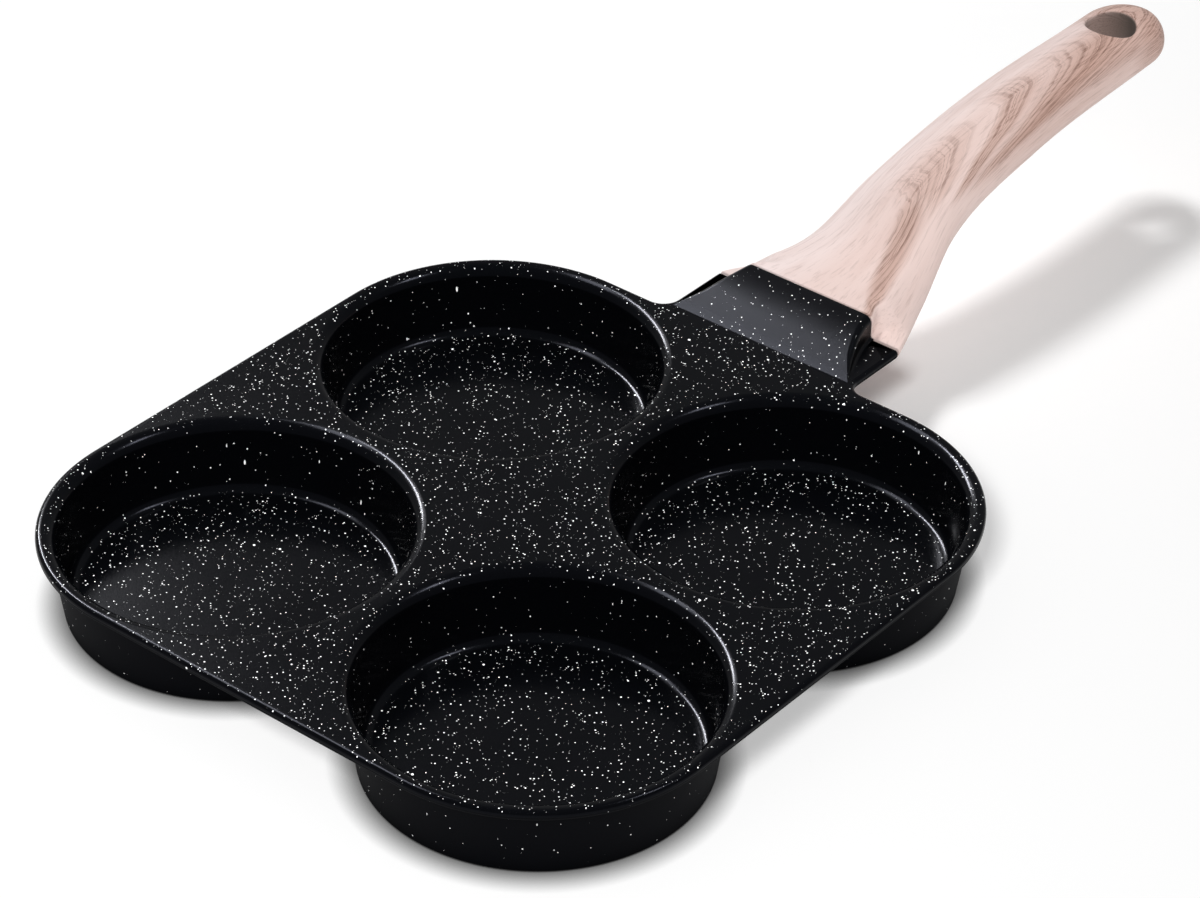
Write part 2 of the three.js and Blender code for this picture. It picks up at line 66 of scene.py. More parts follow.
PAN_HALF = pan_high.y
PAN_MIDDLE_X = pan_low.x + PAN_HALF
CUP_REACH = cup_centres[0].y
DECK_TOP = 22.3 * MM
DECK_THICKNESS = 2.7 * MM
DECK_UNDERSIDE = DECK_TOP - DECK_THICKNESS
RIM_WIDTH = 1.5 * MM
CORNER_RADIUS = PAN_HALF - CUP_REACH
MOUTH_RADIUS = CORNER_RADIUS - RIM_WIDTH
WALL_THICKNESS = 1.8 * MM
FLOOR_THICKNESS = 1.5 * MM
DISC_THICKNESS = disc_boxes[0][1].z
DISC_RADIUS = disc_boxes[0][1].x - cup_centres[0].x
GAP = 0.3 * MM
CUP_FLOOR = DISC_THICKNESS + GAP + FLOOR_THICKNESS
INNER_DRAFT, OUTER_DRAFT = 8.5, 8.0  # degrees
INNER_SLOPE, OUTER_SLOPE = (math.tan(math.radians(draft)) for draft in (INNER_DRAFT, OUTER_DRAFT))
MOUTH_FILLET = 3.6 * MM
FLOOR_FILLET = 3.0 * MM
FOOT_ROUND = 1.0 * MM
EDGE_ROUND = 0.8 * MM
DECK_EDGE_ROUND = 1.2 * MM
UNDER_FILLET = 1.2 * MM
OVERSHOOT = 5.0 * MM
SINK = 1.0 * MM
cup_places = [tuple(round(c / MM, 1) for c in p.xy) for p in cup_centres]
print("cups of", round(2 * MOUTH_RADIUS / MM, 1), "mm at", cup_places)

# %% [markdown]
# ## Camera
# The camera was fitted to the photographed deck, rims and feet: a long lens, a little over a metre away, looking down
# by about 35 degrees. A narrow angle of view keeps the far cups almost as large as the near ones, so the lens matters
# as much as the place. The numbers are kept as angles and as where the middle of the deck's square lies in the view.

# %% Place the camera
VIEW_AZIMUTH = math.radians(218.838)
VIEW_ELEVATION = math.radians(34.531)
VIEW_ROLL = math.radians(0.987)
DECK_IN_VIEW = Vector((-21.202, -14.998, -1033.733)) * MM  # right, up and backward from the camera
FOCAL_PIXELS = 4196.29
IMAGE_WIDTH = 1200
SENSOR_WIDTH = 36  # mm


def placed(name, data):
    obj = bpy.data.objects.new(name, data)
    bpy.context.scene.collection.objects.link(obj)
    return obj


camera_data = bpy.data.cameras.new("camera")
camera_data.sensor_width = SENSOR_WIDTH
camera_data.lens = SENSOR_WIDTH * FOCAL_PIXELS / IMAGE_WIDTH
camera = placed("camera", camera_data)
camera_turn = Matrix.Rotation(VIEW_AZIMUTH + math.pi / 2, 4, "Z")
camera_turn @= Matrix.Rotation(math.pi / 2 - VIEW_ELEVATION, 4, "X") @ Matrix.Rotation(VIEW_ROLL, 4, "Z")
camera_place = Vector((PAN_MIDDLE_X, 0, DECK_TOP)) - camera_turn @ DECK_IN_VIEW
camera.matrix_world = Matrix.Translation(camera_place) @ camera_turn
bpy.context.scene.camera = camera
print("camera at", [round(c, 4) for c in camera_place], "lens", round(camera_data.lens, 2), "mm")

# %% [markdown]
# ## Three ways to make a solid
# Nearly every piece of this pan is either turned about an axis or skinned over a row of sections, and then cut or
# joined. Three small helpers are enough: `turned` spins a profile that starts and ends on its axis, `skinned` lays
# faces over rings of points, and `worked` joins or cuts with the Manifold solver, which is quick and exact on closed
# shells. A modifier stack would also do, but the plain mesh is what the export keeps.

# %% Helpers for solids
SHARP_ANGLE = math.radians(32)
WELD = 0.002 * MM


def mesh_object(name, points, faces):
    mesh = bpy.data.meshes.new(name)
    mesh.from_pydata([tuple(p) for p in points], [], faces)
    shell = bmesh.new()
    shell.from_mesh(mesh)
    bmesh.ops.recalc_face_normals(shell, faces=shell.faces)
    shell.to_mesh(mesh)
    shell.free()
    return placed(name, mesh)


def arc(middle, radius, start, end, steps):
    """Points of an arc between two angles in degrees."""
    angles = np.radians(np.linspace(start, end, steps + 1))
    return [(middle[0] + radius * math.cos(a), middle[1] + radius * math.sin(a)) for a in angles]


def angles_round(segments):
    return np.linspace(0, 2 * math.pi, segments, endpoint=False)


def polar(centre, radius, angle, height):
    return centre[0] + radius * math.cos(angle), centre[1] + radius * math.sin(angle), height


def turned(name, profile, segments, centre):
    """A solid of revolution. The profile holds radius and height, and only its two ends lie on the axis."""
    points = [(centre[0], centre[1], profile[0][1])]
    for radius, height in profile[1:-1]:
        points += [polar(centre, radius, a, height) for a in angles_round(segments)]
    points.append((centre[0], centre[1], profile[-1][1]))
    faces = []
    for j in range(segments):
        k = (j + 1) % segments
        faces.append((0, 1 + k, 1 + j))
        for row in range(len(profile) - 3):
            low, high = 1 + row * segments, 1 + (row + 1) * segments
            faces.append((low + j, low + k, high + k, high + j))
        last = 1 + (len(profile) - 3) * segments
        faces.append((len(points) - 1, last + j, last + k))
    return mesh_object(name, points, faces)


def skinned(name, rings, looped=False):
    """A closed skin over rings with as many points each. A looped row joins its last ring to its first."""
    count = len(rings[0])
    points = [p for ring in rings for p in ring]
    rows = len(rings) if looped else len(rings) - 1
    faces = []
    for row in range(rows):
        a, b = row * count, ((row + 1) % len(rings)) * count
        faces += [(a + i, a + (i + 1) % count, b + (i + 1) % count, b + i) for i in range(count)]
    if not looped:
        faces.append(tuple(reversed(range(count))))
        faces.append(tuple(range(len(points) - count, len(points))))
    return mesh_object(name, points, faces)


def settled(obj):
    """Swap an object's mesh for its evaluated one, with no modifier left."""
    evaluated = obj.evaluated_get(bpy.context.evaluated_depsgraph_get())
    mesh = bpy.data.meshes.new_from_object(evaluated)
    obj.modifiers.clear()
    obj.data = mesh
    mesh.name = obj.name
    return obj


def worked(obj, operation, tools):
    """Join or cut an object with each tool, and remove the tools."""
    for tool in tools:
        change = obj.modifiers.new(operation, "BOOLEAN")
        change.operation = operation
        change.solver = "MANIFOLD"
        change.object = tool
    settled(obj)
    for tool in tools:
        bpy.data.objects.remove(tool)
    return obj


def smoothed(obj):
    """Shade round stretches smoothly and keep flat ones flat, by weighting each normal by its face's area."""
    mesh = obj.data
    shell = bmesh.new()
    shell.from_mesh(mesh)
    bmesh.ops.remove_doubles(shell, verts=shell.verts, dist=WELD)
    bmesh.ops.dissolve_degenerate(shell, edges=shell.edges, dist=WELD)
    bmesh.ops.triangulate(shell, faces=[f for f in shell.faces if len(f.verts) > 4])
    open_edges = sum(not e.is_manifold for e in shell.edges)
    shell.to_mesh(mesh)
    shell.free()
    mesh.shade_smooth()
    mesh.set_sharp_from_angle(angle=SHARP_ANGLE)
    weights = obj.modifiers.new("flat faces stay flat", "WEIGHTED_NORMAL")
    weights.keep_sharp = True
    settled(obj)
    print(obj.name, len(obj.data.polygons), "faces,", open_edges, "open edges")
    return obj


# %% [markdown]
# ## The casting: deck and cups
# The deck is a flat plate whose corners are concentric with the cups, drawn out into a tongue towards the handle. Its
# edge is rounded by a row of outlines, each drawn in a little further than the last. A cup is two turned solids: its
# outside is joined to the deck, and then its inside is cut out, with the fillet at the mouth and the rounder one at
# the floor in the cutter's own profile. Those two fillets carry all the bright lines in the picture.

# %% The deck
TONGUE_HALF = 29.8 * MM
TONGUE_FILLET = 5.0 * MM
TONGUE_CORNER = 1.0 * MM
JOINT_X = handle_low.x - GAP
CORNER_STEPS = 40
EDGE_STEPS = 5


def deck_outline(inset):
    """The deck's outline, drawn in by a distance."""
    corner = CORNER_RADIUS - inset
    hollow = TONGUE_FILLET + inset
    root_x = PAN_HALF + TONGUE_FILLET
    root_y = TONGUE_HALF + TONGUE_FILLET
    end_x = JOINT_X - PAN_MIDDLE_X - TONGUE_CORNER
    end_y = TONGUE_HALF - TONGUE_CORNER
    points = arc((end_x, -end_y), TONGUE_CORNER - inset, -90, 0, EDGE_STEPS)
    points += arc((end_x, end_y), TONGUE_CORNER - inset, 0, 90, EDGE_STEPS)
    points += arc((root_x, root_y), hollow, 270, 180, CORNER_STEPS // 4)
    for sx, sy, start in ((1, 1, 0), (-1, 1, 90), (-1, -1, 180), (1, -1, 270)):
        points += arc((sx * CUP_REACH, sy * CUP_REACH), corner, start, start + 90, CORNER_STEPS)
    points += arc((root_x, -root_y), hollow, 180, 90, CORNER_STEPS // 4)
    return [(x + PAN_MIDDLE_X, y) for x, y in points]


def rounded_plate(name, outline, bottom, top, edge):
    """A plate between two heights whose edge is rounded above and below."""
    rings = []
    for middle, start in ((bottom + edge, -90), (top - edge, 0)):
        for depth, height in arc((0, middle), edge, start, start + 90, EDGE_STEPS):
            rings.append([(x, y, height) for x, y in outline(edge - depth)])
    return skinned(name, rings)


casting = rounded_plate("pan_casting", deck_outline, DECK_UNDERSIDE, DECK_TOP, DECK_EDGE_ROUND)
print("deck plate", len(casting.data.vertices), "points")

# %% The cups, outside and inside
CUP_SEGMENTS = 160
FILLET_STEPS = 8


def inner_radius(height):
    return MOUTH_RADIUS - MOUTH_FILLET - (DECK_TOP - MOUTH_FILLET - height) * INNER_SLOPE


def outer_radius(height):
    return inner_radius(DECK_UNDERSIDE) + WALL_THICKNESS - (DECK_UNDERSIDE - height) * OUTER_SLOPE


def cup_shell(centre):
    foot = outer_radius(FOOT_ROUND) - FOOT_ROUND
    under = outer_radius(DECK_UNDERSIDE - UNDER_FILLET) + UNDER_FILLET
    profile = [(0, 0)]
    profile += arc((foot, FOOT_ROUND), FOOT_ROUND, -90, 0, FILLET_STEPS)
    profile += arc((under, DECK_UNDERSIDE - UNDER_FILLET), UNDER_FILLET, 180, 90, FILLET_STEPS)
    profile += [(under, DECK_TOP - DECK_THICKNESS / 2), (0, DECK_TOP - DECK_THICKNESS / 2)]
    return turned("cup shell", profile, CUP_SEGMENTS, centre)


def cup_space(centre):
    floor = inner_radius(CUP_FLOOR + FLOOR_FILLET) - FLOOR_FILLET
    profile = [(0, CUP_FLOOR)]
    profile += arc((floor, CUP_FLOOR + FLOOR_FILLET), FLOOR_FILLET, -90, -INNER_DRAFT, FILLET_STEPS)
    profile += arc((MOUTH_RADIUS, DECK_TOP - MOUTH_FILLET), MOUTH_FILLET, 180 - INNER_DRAFT, 90, FILLET_STEPS)
    profile += [(MOUTH_RADIUS, DECK_TOP + OVERSHOOT), (0, DECK_TOP + OVERSHOOT)]
    return turned("cup space", profile, CUP_SEGMENTS, centre)


def bored(name, radius, bottom, top, segments, centre):
    return turned(name, [(0, bottom), (radius, bottom), (radius, top), (0, top)], segments, centre)


def disc_recess(centre):
    return bored("disc recess", DISC_RADIUS + GAP, -OVERSHOOT, DISC_THICKNESS + GAP, CUP_SEGMENTS, centre)


print("cup floor of", round(2 * inner_radius(CUP_FLOOR) / MM, 1), "mm across,", round(CUP_FLOOR / MM, 1), "mm up")

# %% [markdown]
# ## The casting: bracket
# The bracket is cast with the deck. A block rises from a crease just past the deck's side and meets the handle with
# the same height and width as the handle's own end. Below the tongue a keel dies out under the deck, and a flat tenon
# runs on into the handle. All three are skins over sections, because their width and height change together. The
# crease gets a small hollow round, since a cast and coated corner is never sharp and this one catches the light.

# %% Block, keel and tenon
BLOCK_SETBACK = 1.2 * MM
BLOCK_RISE = 6.6 * MM
BLOCK_FOOT_HALF = 28.9 * MM
BLOCK_TOP_HALF = 20.6 * MM
BLOCK_WAIST = 1.5  # power of the line in which its sides draw in
BLOCK_ROUND = 2.0 * MM
BLOCK_FILLET = 1.0 * MM
BLOCK_ROUND_SHARE = 0.6
BLOCK_END_ROUND = 0.5 * MM
CREASE_ROUND = 0.8 * MM
CREASE_START = 0.02 * MM
KEEL_HALF = 23.0 * MM
KEEL_TIP_HALF = 11.5 * MM
KEEL_TIP_DEPTH = 0.6 * MM
KEEL_REACH = 14.0 * MM
GRIP_LOWER_POWER = 2.2
JOINT_DEPTH = 18.8 * MM
TENON_LENGTH = 27.0 * MM
TENON_HALF = 11.0 * MM
TENON_THICKNESS = 7.0 * MM
TENON_COVER = 2.6 * MM
SCREW_FROM_JOINT = 14.0 * MM
SCREW_RADIUS = 2.4 * MM
BLOCK_STEPS = 40
SIDE_X = PAN_MIDDLE_X + PAN_HALF
CREASE_X = SIDE_X + BLOCK_SETBACK
BLOCK_TOP = DECK_TOP + BLOCK_RISE
TENON_TOP = BLOCK_TOP - TENON_COVER
TENON_BOTTOM = TENON_TOP - TENON_THICKNESS
SCREW_X = JOINT_X + SCREW_FROM_JOINT
SCREW_CENTRE = (SCREW_X, 0)


def lerp(a, b, t):
    return a + (b - a) * t


def block_section(x):
    """One section of the block: a fillet onto the tongue, a side, a rounded shoulder and the top."""
    past = x - CREASE_X
    eased = past * past / (2 * CREASE_ROUND) if past < CREASE_ROUND else past - CREASE_ROUND / 2
    t = eased / (JOINT_X - CREASE_X - CREASE_ROUND / 2)
    into_end = max(0.0, x - (JOINT_X - BLOCK_END_ROUND))
    pull = BLOCK_END_ROUND - math.sqrt(max(0.0, BLOCK_END_ROUND**2 - into_end**2))
    rise = BLOCK_RISE * math.sin(t * math.pi / 2) - pull
    half = lerp(BLOCK_FOOT_HALF, BLOCK_TOP_HALF, 1 - max(0.0, 1 - t) ** BLOCK_WAIST) - pull
    shoulder = min(BLOCK_ROUND, BLOCK_ROUND_SHARE * rise)
    fillet = min(BLOCK_FILLET, rise - shoulder)
    right = [(half + fillet, DECK_TOP - SINK)]
    right += arc((half + fillet, DECK_TOP + fillet), fillet, 270, 180, FILLET_STEPS)
    right += arc((half - shoulder, DECK_TOP + rise - shoulder), shoulder, 0, 90, FILLET_STEPS)
    outline = right + [(-y, z) for y, z in reversed(right)]
    return [(x, y, z) for y, z in outline]


def bracket_block():
    risen, end = CREASE_X + CREASE_ROUND, JOINT_X - BLOCK_END_ROUND
    along = list(np.linspace(CREASE_X + CREASE_START, risen, FILLET_STEPS))
    along += list(np.linspace(risen, end, BLOCK_STEPS))[1:]
    along += [end + BLOCK_END_ROUND * math.sin(a) for a in np.linspace(0, math.pi / 2, FILLET_STEPS)[1:]]
    return skinned("bracket block", [block_section(x) for x in along])


def oval_half(half_width, height, power, steps):
    """Points over half an oval, from one side to the other. A higher power is squarer."""
    angles = np.linspace(0, math.pi, steps + 1)
    across = np.sign(np.cos(angles)) * np.abs(np.cos(angles)) ** (2 / power)
    return half_width * across, height * np.abs(np.sin(angles)) ** (2 / power)


def bracket_keel():
    belt = DECK_TOP - DECK_THICKNESS / 2
    depth = belt - (BLOCK_TOP - JOINT_DEPTH) - GAP
    rings = []
    for t in np.linspace(0, 1, BLOCK_STEPS):
        swell = math.sin(t * math.pi / 2) ** 2
        half = lerp(KEEL_TIP_HALF, KEEL_HALF, swell)
        drop = lerp(KEEL_TIP_DEPTH, depth, swell)
        across, below = oval_half(half, drop, GRIP_LOWER_POWER, BLOCK_STEPS)
        x = lerp(SIDE_X - KEEL_REACH, JOINT_X, t)
        rings.append([(x, y, belt - z) for y, z in zip(across, below)])
    return skinned("bracket keel", rings)


def tenon_outline(inset):
    low, high = JOINT_X - SINK, JOINT_X + TENON_LENGTH - inset
    side = TENON_HALF - inset
    return [(low, -side), (high, -side), (high, side), (low, side)]


def screw_bore():
    bottom, top = TENON_BOTTOM - OVERSHOOT, TENON_TOP + OVERSHOOT
    return bored("screw bore", SCREW_RADIUS + GAP, bottom, top, CUP_SEGMENTS // 4, SCREW_CENTRE)


tenon = rounded_plate("tenon", tenon_outline, TENON_BOTTOM, TENON_TOP, EDGE_ROUND)
worked(tenon, "DIFFERENCE", [screw_bore()])
print("tenon", len(tenon.data.polygons), "faces, screw at x", round(SCREW_X / MM, 1), "mm")

# %% Join the casting and cut its cups
worked(casting, "UNION", [bracket_block(), bracket_keel(), tenon, *[cup_shell(c) for c in cup_centres]])
worked(casting, "DIFFERENCE", [cup_space(c) for c in cup_centres] + [disc_recess(c) for c in cup_centres])
smoothed(casting)

# %% [markdown]
# ## The handle
# The handle is one moulding. At the joint its section repeats the block: a flat top and sloping sides out to the
# tongue's full width. Further on it narrows, rises and turns into the oval of the grip. Each of width, rise and depth
# is a smooth line through a few measured places, and a section is worked out from the three, so the surface follows a
# rule and a dense skin costs nothing but points.

# %% Lines along the handle
HANDLE_X = handle_low.x
STRETCHES = np.array([0, 24, 44, 85, 140, 157.8]) * MM  # joint, throat, neck, palm, grip and tail ends
WIDTHS = np.array([2 * TONGUE_HALF / MM, 40.8, 31, 27, 25.4, 25.4]) * MM
RISES = np.array([6.6, 9.4, 19.9, 27.6, 28.5, 28.5]) * MM
DEPTHS = np.array([18.8, 19.5, 18.5, 17.5, 15, 14.2]) * MM
HANDLE_LENGTH = STRETCHES[-1]
TAIL_ROUND = 13.2 * MM
TAIL_BLUNT = 0.03 * MM
JOINT_BELT, GRIP_BELT = 0.6, 0.47
UPPER_POWER = 2.3
JOINT_LOWER_POWER = 1.7
ROUND_BY = 34.0 * MM
FLAT_SHARE = BLOCK_TOP_HALF / TONGUE_HALF


def line_along(values, level_start=False):
    """A smooth line through values at the ends of the stretches, with the mean slope at each of them."""
    secants = np.diff(values) / np.diff(STRETCHES)
    slopes = np.concatenate([secants[:1], (secants[1:] + secants[:-1]) / 2, secants[-1:]])
    if level_start:
        slopes[0] = 0

    def at(along):
        i = np.clip(np.searchsorted(STRETCHES, along, side="right") - 1, 0, len(secants) - 1)
        step = STRETCHES[i + 1] - STRETCHES[i]
        p = (along - STRETCHES[i]) / step
        start = (1 + 2 * p) * (1 - p) ** 2 * values[i] + p * (1 - p) ** 2 * slopes[i] * step
        end = p * p * (3 - 2 * p) * values[i + 1] + p * p * (p - 1) * slopes[i + 1] * step
        return start + end

    return at


width_at = line_along(WIDTHS)
rise_at = line_along(RISES, level_start=True)
depth_at = line_along(DEPTHS)
print("grip", round(float(width_at(HANDLE_LENGTH / 2)) / MM, 1), "mm wide half way along")


def handle_frame(along):
    """Roundness, half width, depth, belt share and middle height of the handle's section at a place along it."""
    roundness = np.clip(along / ROUND_BY, 0, 1)
    tail = np.clip((along - (HANDLE_LENGTH - TAIL_ROUND)) / TAIL_ROUND, 0, 1)
    closing = np.sqrt(1 - tail * tail)
    belt = lerp(JOINT_BELT, GRIP_BELT, roundness)
    half = width_at(along) / 2 * closing
    depth = depth_at(along) * np.sqrt(closing)
    middle = DECK_TOP + rise_at(along) - depth_at(along) * (1 - belt)
    return roundness, half, depth, belt, middle


# %% Skin the handle
UPPER_SHARES = (5, 10, 10, 5, 9, 9)  # points over edge, tongue, fillet, side, shoulder and top
LOWER_STEPS = 72
HANDLE_STEP = 0.9 * MM
TAIL_RINGS = 28
FRONT_ROUND = 0.4 * MM
CORNER_SOFTNESS = 0.16
JOINT_SETTLE = 10.0 * MM


def soft_min(a, b, softness):
    """The smaller of two values, with a rounded change from one to the other."""
    h = np.clip(0.5 + 0.5 * (b - a) / softness, 0, 1)
    return lerp(b, a, h) - softness * h * (1 - h)


def joint_outline(half, middle, top, deck):
    """The upper outline of the casting's end: tongue, the step up the block's side and its flat top."""
    edge, tongue, fillet, wall, shoulder, roof = UPPER_SHARES
    side = half * FLAT_SHARE
    flat = side - BLOCK_ROUND
    corner = arc((0, 0), 1, 0, 90, edge)
    right = [(half - EDGE_ROUND + EDGE_ROUND * y, middle + (deck - middle) * z) for y, z in corner]
    right += [(y, deck) for y in np.linspace(half - EDGE_ROUND, side + BLOCK_FILLET, tongue + 1)[1:-1]]
    right += arc((side + BLOCK_FILLET, deck + BLOCK_FILLET), BLOCK_FILLET, 270, 180, fillet)
    right += [(side, z) for z in np.linspace(deck + BLOCK_FILLET, top - BLOCK_ROUND, wall + 1)[1:-1]]
    right += arc((flat, top - BLOCK_ROUND), BLOCK_ROUND, 0, 90, shoulder)
    right += [(y, top) for y in np.linspace(flat, 0, roof + 1)[1:-1]]
    return np.array(right + [(0, top)] + [(-y, z) for y, z in reversed(right)]).T


def handle_ring(along, inset=0.0):
    roundness, half, depth, belt, middle = handle_frame(along)
    half, depth = half - inset, depth - 2 * inset
    middle -= inset * (2 * belt - 1)
    height = depth * (1 - belt)
    across, above = oval_half(half, height, UPPER_POWER, 2 * sum(UPPER_SHARES))
    roof = height * soft_min(1.0, (1 - np.abs(across) / half) / (1 - FLAT_SHARE), CORNER_SOFTNESS)
    above = lerp(roof - roof.min(), above, roundness)
    joint_across, joint_height = joint_outline(half, middle, middle + height, DECK_TOP - inset)
    settle = np.clip(along / JOINT_SETTLE, 0, 1)
    settle = settle * settle * (3 - 2 * settle)
    across, above = lerp(joint_across, across, settle), lerp(joint_height - middle, above, settle)
    power = lerp(JOINT_LOWER_POWER, GRIP_LOWER_POWER, roundness)
    under, below = oval_half(half, depth * belt, power, LOWER_STEPS)
    upper = [(HANDLE_X + along, y, middle + z) for y, z in zip(across, above)]
    lower = [(HANDLE_X + along, y, middle - z) for y, z in zip(under[1:-1], below[1:-1])]
    return upper + lower[::-1]


def handle_skin():
    rings = []
    for a in np.linspace(0, math.pi / 2, EDGE_STEPS):
        rings.append(handle_ring(FRONT_ROUND * (1 - math.cos(a)), FRONT_ROUND * (1 - math.sin(a))))
    tail_start = HANDLE_LENGTH - TAIL_ROUND
    steps = round((tail_start - FRONT_ROUND) / HANDLE_STEP)
    rings += [handle_ring(s) for s in np.linspace(FRONT_ROUND, tail_start, steps)[1:]]
    for a in np.linspace(0, math.pi / 2, TAIL_RINGS)[1:]:
        rings.append(handle_ring(tail_start + (TAIL_ROUND - TAIL_BLUNT) * math.sin(a)))
    return skinned("handle_moulding", rings)


handle = handle_skin()
print("handle skin", len(handle.data.vertices), "points")

# %% [markdown]
# ## The hang hole, the socket and the screw well
# A drilled edge would look wrong on a moulding: the hole's rim is rounded over, and it is rounded on a surface that
# falls away to both sides. So the cutter is a tube that flares at both ends, and at every angle its flare is the arc
# that touches both the hole's wall and the slope of the surface there.

# %% Cut the handle
HANG_RADIUS = 7.0 * MM
HANG_FROM_END = 18.4 * MM
HANG_LIP = 1.0 * MM
HANG_SEGMENTS = 96
HANG_SPARE_ANGLE = 8  # degrees
FLARE_STEPS = 10
FLARE_RUN = 2.0 * MM
HANG_X = HANDLE_X + HANDLE_LENGTH - HANG_FROM_END
SEAT_WALL = 2.4 * MM
SEAT_Z = TENON_BOTTOM - GAP - SEAT_WALL
SCREW_HEAD_RADIUS = 4.7 * MM
WELL_CLEARANCE = 0.6 * MM


def handle_height(x, y, side):
    """Height of the grip's top (side 1) or underside (side -1) at a place in plan."""
    _, half, depth, belt, middle = handle_frame(x - HANDLE_X)
    share, power = (1 - belt, UPPER_POWER) if side > 0 else (belt, GRIP_LOWER_POWER)
    return middle + side * depth * share * (1 - min(1.0, abs(y) / half) ** power) ** (1 / power)


def flare(angle, side):
    """The rounded lip at one angle round the hole, from the wall outwards, as radius and height."""
    out = np.array([math.cos(angle), math.sin(angle)])
    inner, outer = HANG_RADIUS, HANG_RADIUS + HANG_LIP
    near = handle_height(HANG_X + inner * out[0], inner * out[1], side)
    far = handle_height(HANG_X + outer * out[0], outer * out[1], side)
    fall = math.atan2(side * (near - far), HANG_LIP)
    middle = far - side * HANG_LIP / math.cos(fall)
    end = math.radians(90 - HANG_SPARE_ANGLE) + fall
    swept = np.linspace(0, end, FLARE_STEPS)
    lip = [(outer - HANG_LIP * math.cos(b), middle + side * HANG_LIP * math.sin(b)) for b in swept]
    (r0, z0), (r1, z1) = lip[-2:]
    run = FLARE_RUN / math.hypot(r1 - r0, z1 - z0)
    lip.append((r1 + run * (r1 - r0), z1 + run * (z1 - z0)))
    lip.append((lip[-1][0], far + side * OVERSHOOT))
    return lip


def hang_cutter():
    columns = []
    for a in angles_round(HANG_SEGMENTS):
        profile = flare(a, -1)[::-1] + flare(a, 1)
        columns.append([polar((HANG_X, 0), r, a, z) for r, z in profile])
    return skinned("hang hole", list(zip(*columns)))


def socket_cutter():
    side, low, high = TENON_HALF + GAP, TENON_BOTTOM - GAP, TENON_TOP + GAP
    ring = [(-side, low), (side, low), (side, high), (-side, high)]
    ends = (JOINT_X - SINK, JOINT_X + TENON_LENGTH + GAP)
    return skinned("socket", [[(x, y, z) for y, z in ring] for x in ends])


def well_cutter():
    head, shank = SCREW_HEAD_RADIUS + WELL_CLEARANCE, SCREW_RADIUS + GAP
    bottom = BLOCK_TOP - JOINT_DEPTH - OVERSHOOT
    profile = [(0, bottom), (head, bottom), (head, SEAT_Z), (shank, SEAT_Z), (shank, TENON_TOP), (0, TENON_TOP)]
    return turned("screw well", profile, HANG_SEGMENTS, SCREW_CENTRE)


worked(handle, "DIFFERENCE", [hang_cutter(), socket_cutter(), well_cutter()])
smoothed(handle)

# %% [markdown]
# ## Base discs
# Each disc is a steel plate with two rings of holes. Holes that repeat are a job for Geometry Nodes: a circle with
# one point for each hole carries a small circle on every point, a fill turns the outer circle with its holes into a
# face, and an extrusion gives the face its thickness. The sizes are inputs of the tree, so one tree makes all four.
# The helper `node`, which fills or links the inputs of a new node in one go, serves the finishes further down too.

# %% A node tree for a perforated disc
DISC_RINGS = 2
DISC_PLAIN_RIM = 9.0 * MM
DISC_SIZES = {
    "Disc Radius": DISC_RADIUS,
    "Disc Thickness": DISC_THICKNESS,
    "Hole Radius": 2.5 * MM,
    "Ring Spacing": (DISC_RADIUS - DISC_PLAIN_RIM) / DISC_RINGS,
}
HOLE_SEGMENTS = 24
SEAM = 0.001 * MM


def node(tree, kind, inputs=None, **settings):
    """A new node. An input is a value, a socket to link from or a list of such sockets."""
    made = tree.nodes.new(kind)
    for key, value in settings.items():
        setattr(made, key, value)
    for key, value in (inputs or {}).items():
        for item in value if isinstance(value, list) else [value]:
            if isinstance(item, bpy.types.NodeSocket):
                tree.links.new(item, made.inputs[key])
            else:
                made.inputs[key].default_value = item
    return made


def perforated_disc_tree(material):
    tree = bpy.data.node_groups.new("perforated disc", "GeometryNodeTree")
    tree.interface.new_socket("Geometry", in_out="INPUT", socket_type="NodeSocketGeometry")
    for name in DISC_SIZES:
        tree.interface.new_socket(name, in_out="INPUT", socket_type="NodeSocketFloat")
    tree.interface.new_socket("Geometry", in_out="OUTPUT", socket_type="NodeSocketGeometry")
    given = node(tree, "NodeGroupInput").outputs

    def step(kind, inputs, **settings):
        return node(tree, kind, inputs, **settings).outputs[0]

    def circle(points, radius):
        return step("GeometryNodeCurvePrimitiveCircle", {"Resolution": points, "Radius": radius})

    hole = circle(HOLE_SEGMENTS, given["Hole Radius"])
    outlines = [circle(CUP_SEGMENTS, given["Disc Radius"])]
    for ring in range(1, DISC_RINGS + 1):
        reach = step("ShaderNodeMath", {0: given["Ring Spacing"], 1: ring}, operation="MULTIPLY")
        places = circle(round(2 * math.pi * ring), reach)
        holes = step("GeometryNodeInstanceOnPoints", {"Points": places, "Instance": hole})
        outlines.append(step("GeometryNodeRealizeInstances", {0: holes}))
    joined = step("GeometryNodeJoinGeometry", {0: outlines[::-1]})
    filled = step("GeometryNodeFillCurve", {0: joined})
    lift = step("ShaderNodeCombineXYZ", {"Z": given["Disc Thickness"]})
    raised = step("GeometryNodeExtrudeMesh", {0: filled, "Offset": lift, "Individual": False})
    under = step("GeometryNodeFlipFaces", {0: filled})
    body = step("GeometryNodeJoinGeometry", {0: [under, raised]})
    merged = step("GeometryNodeMergeByDistance", {0: body, "Distance": SEAM})
    realized = step("GeometryNodeRealizeInstances", {0: merged})
    finished = step("GeometryNodeSetMaterial", {0: realized, "Material": material})
    node(tree, "NodeGroupOutput", {0: finished})
    return tree


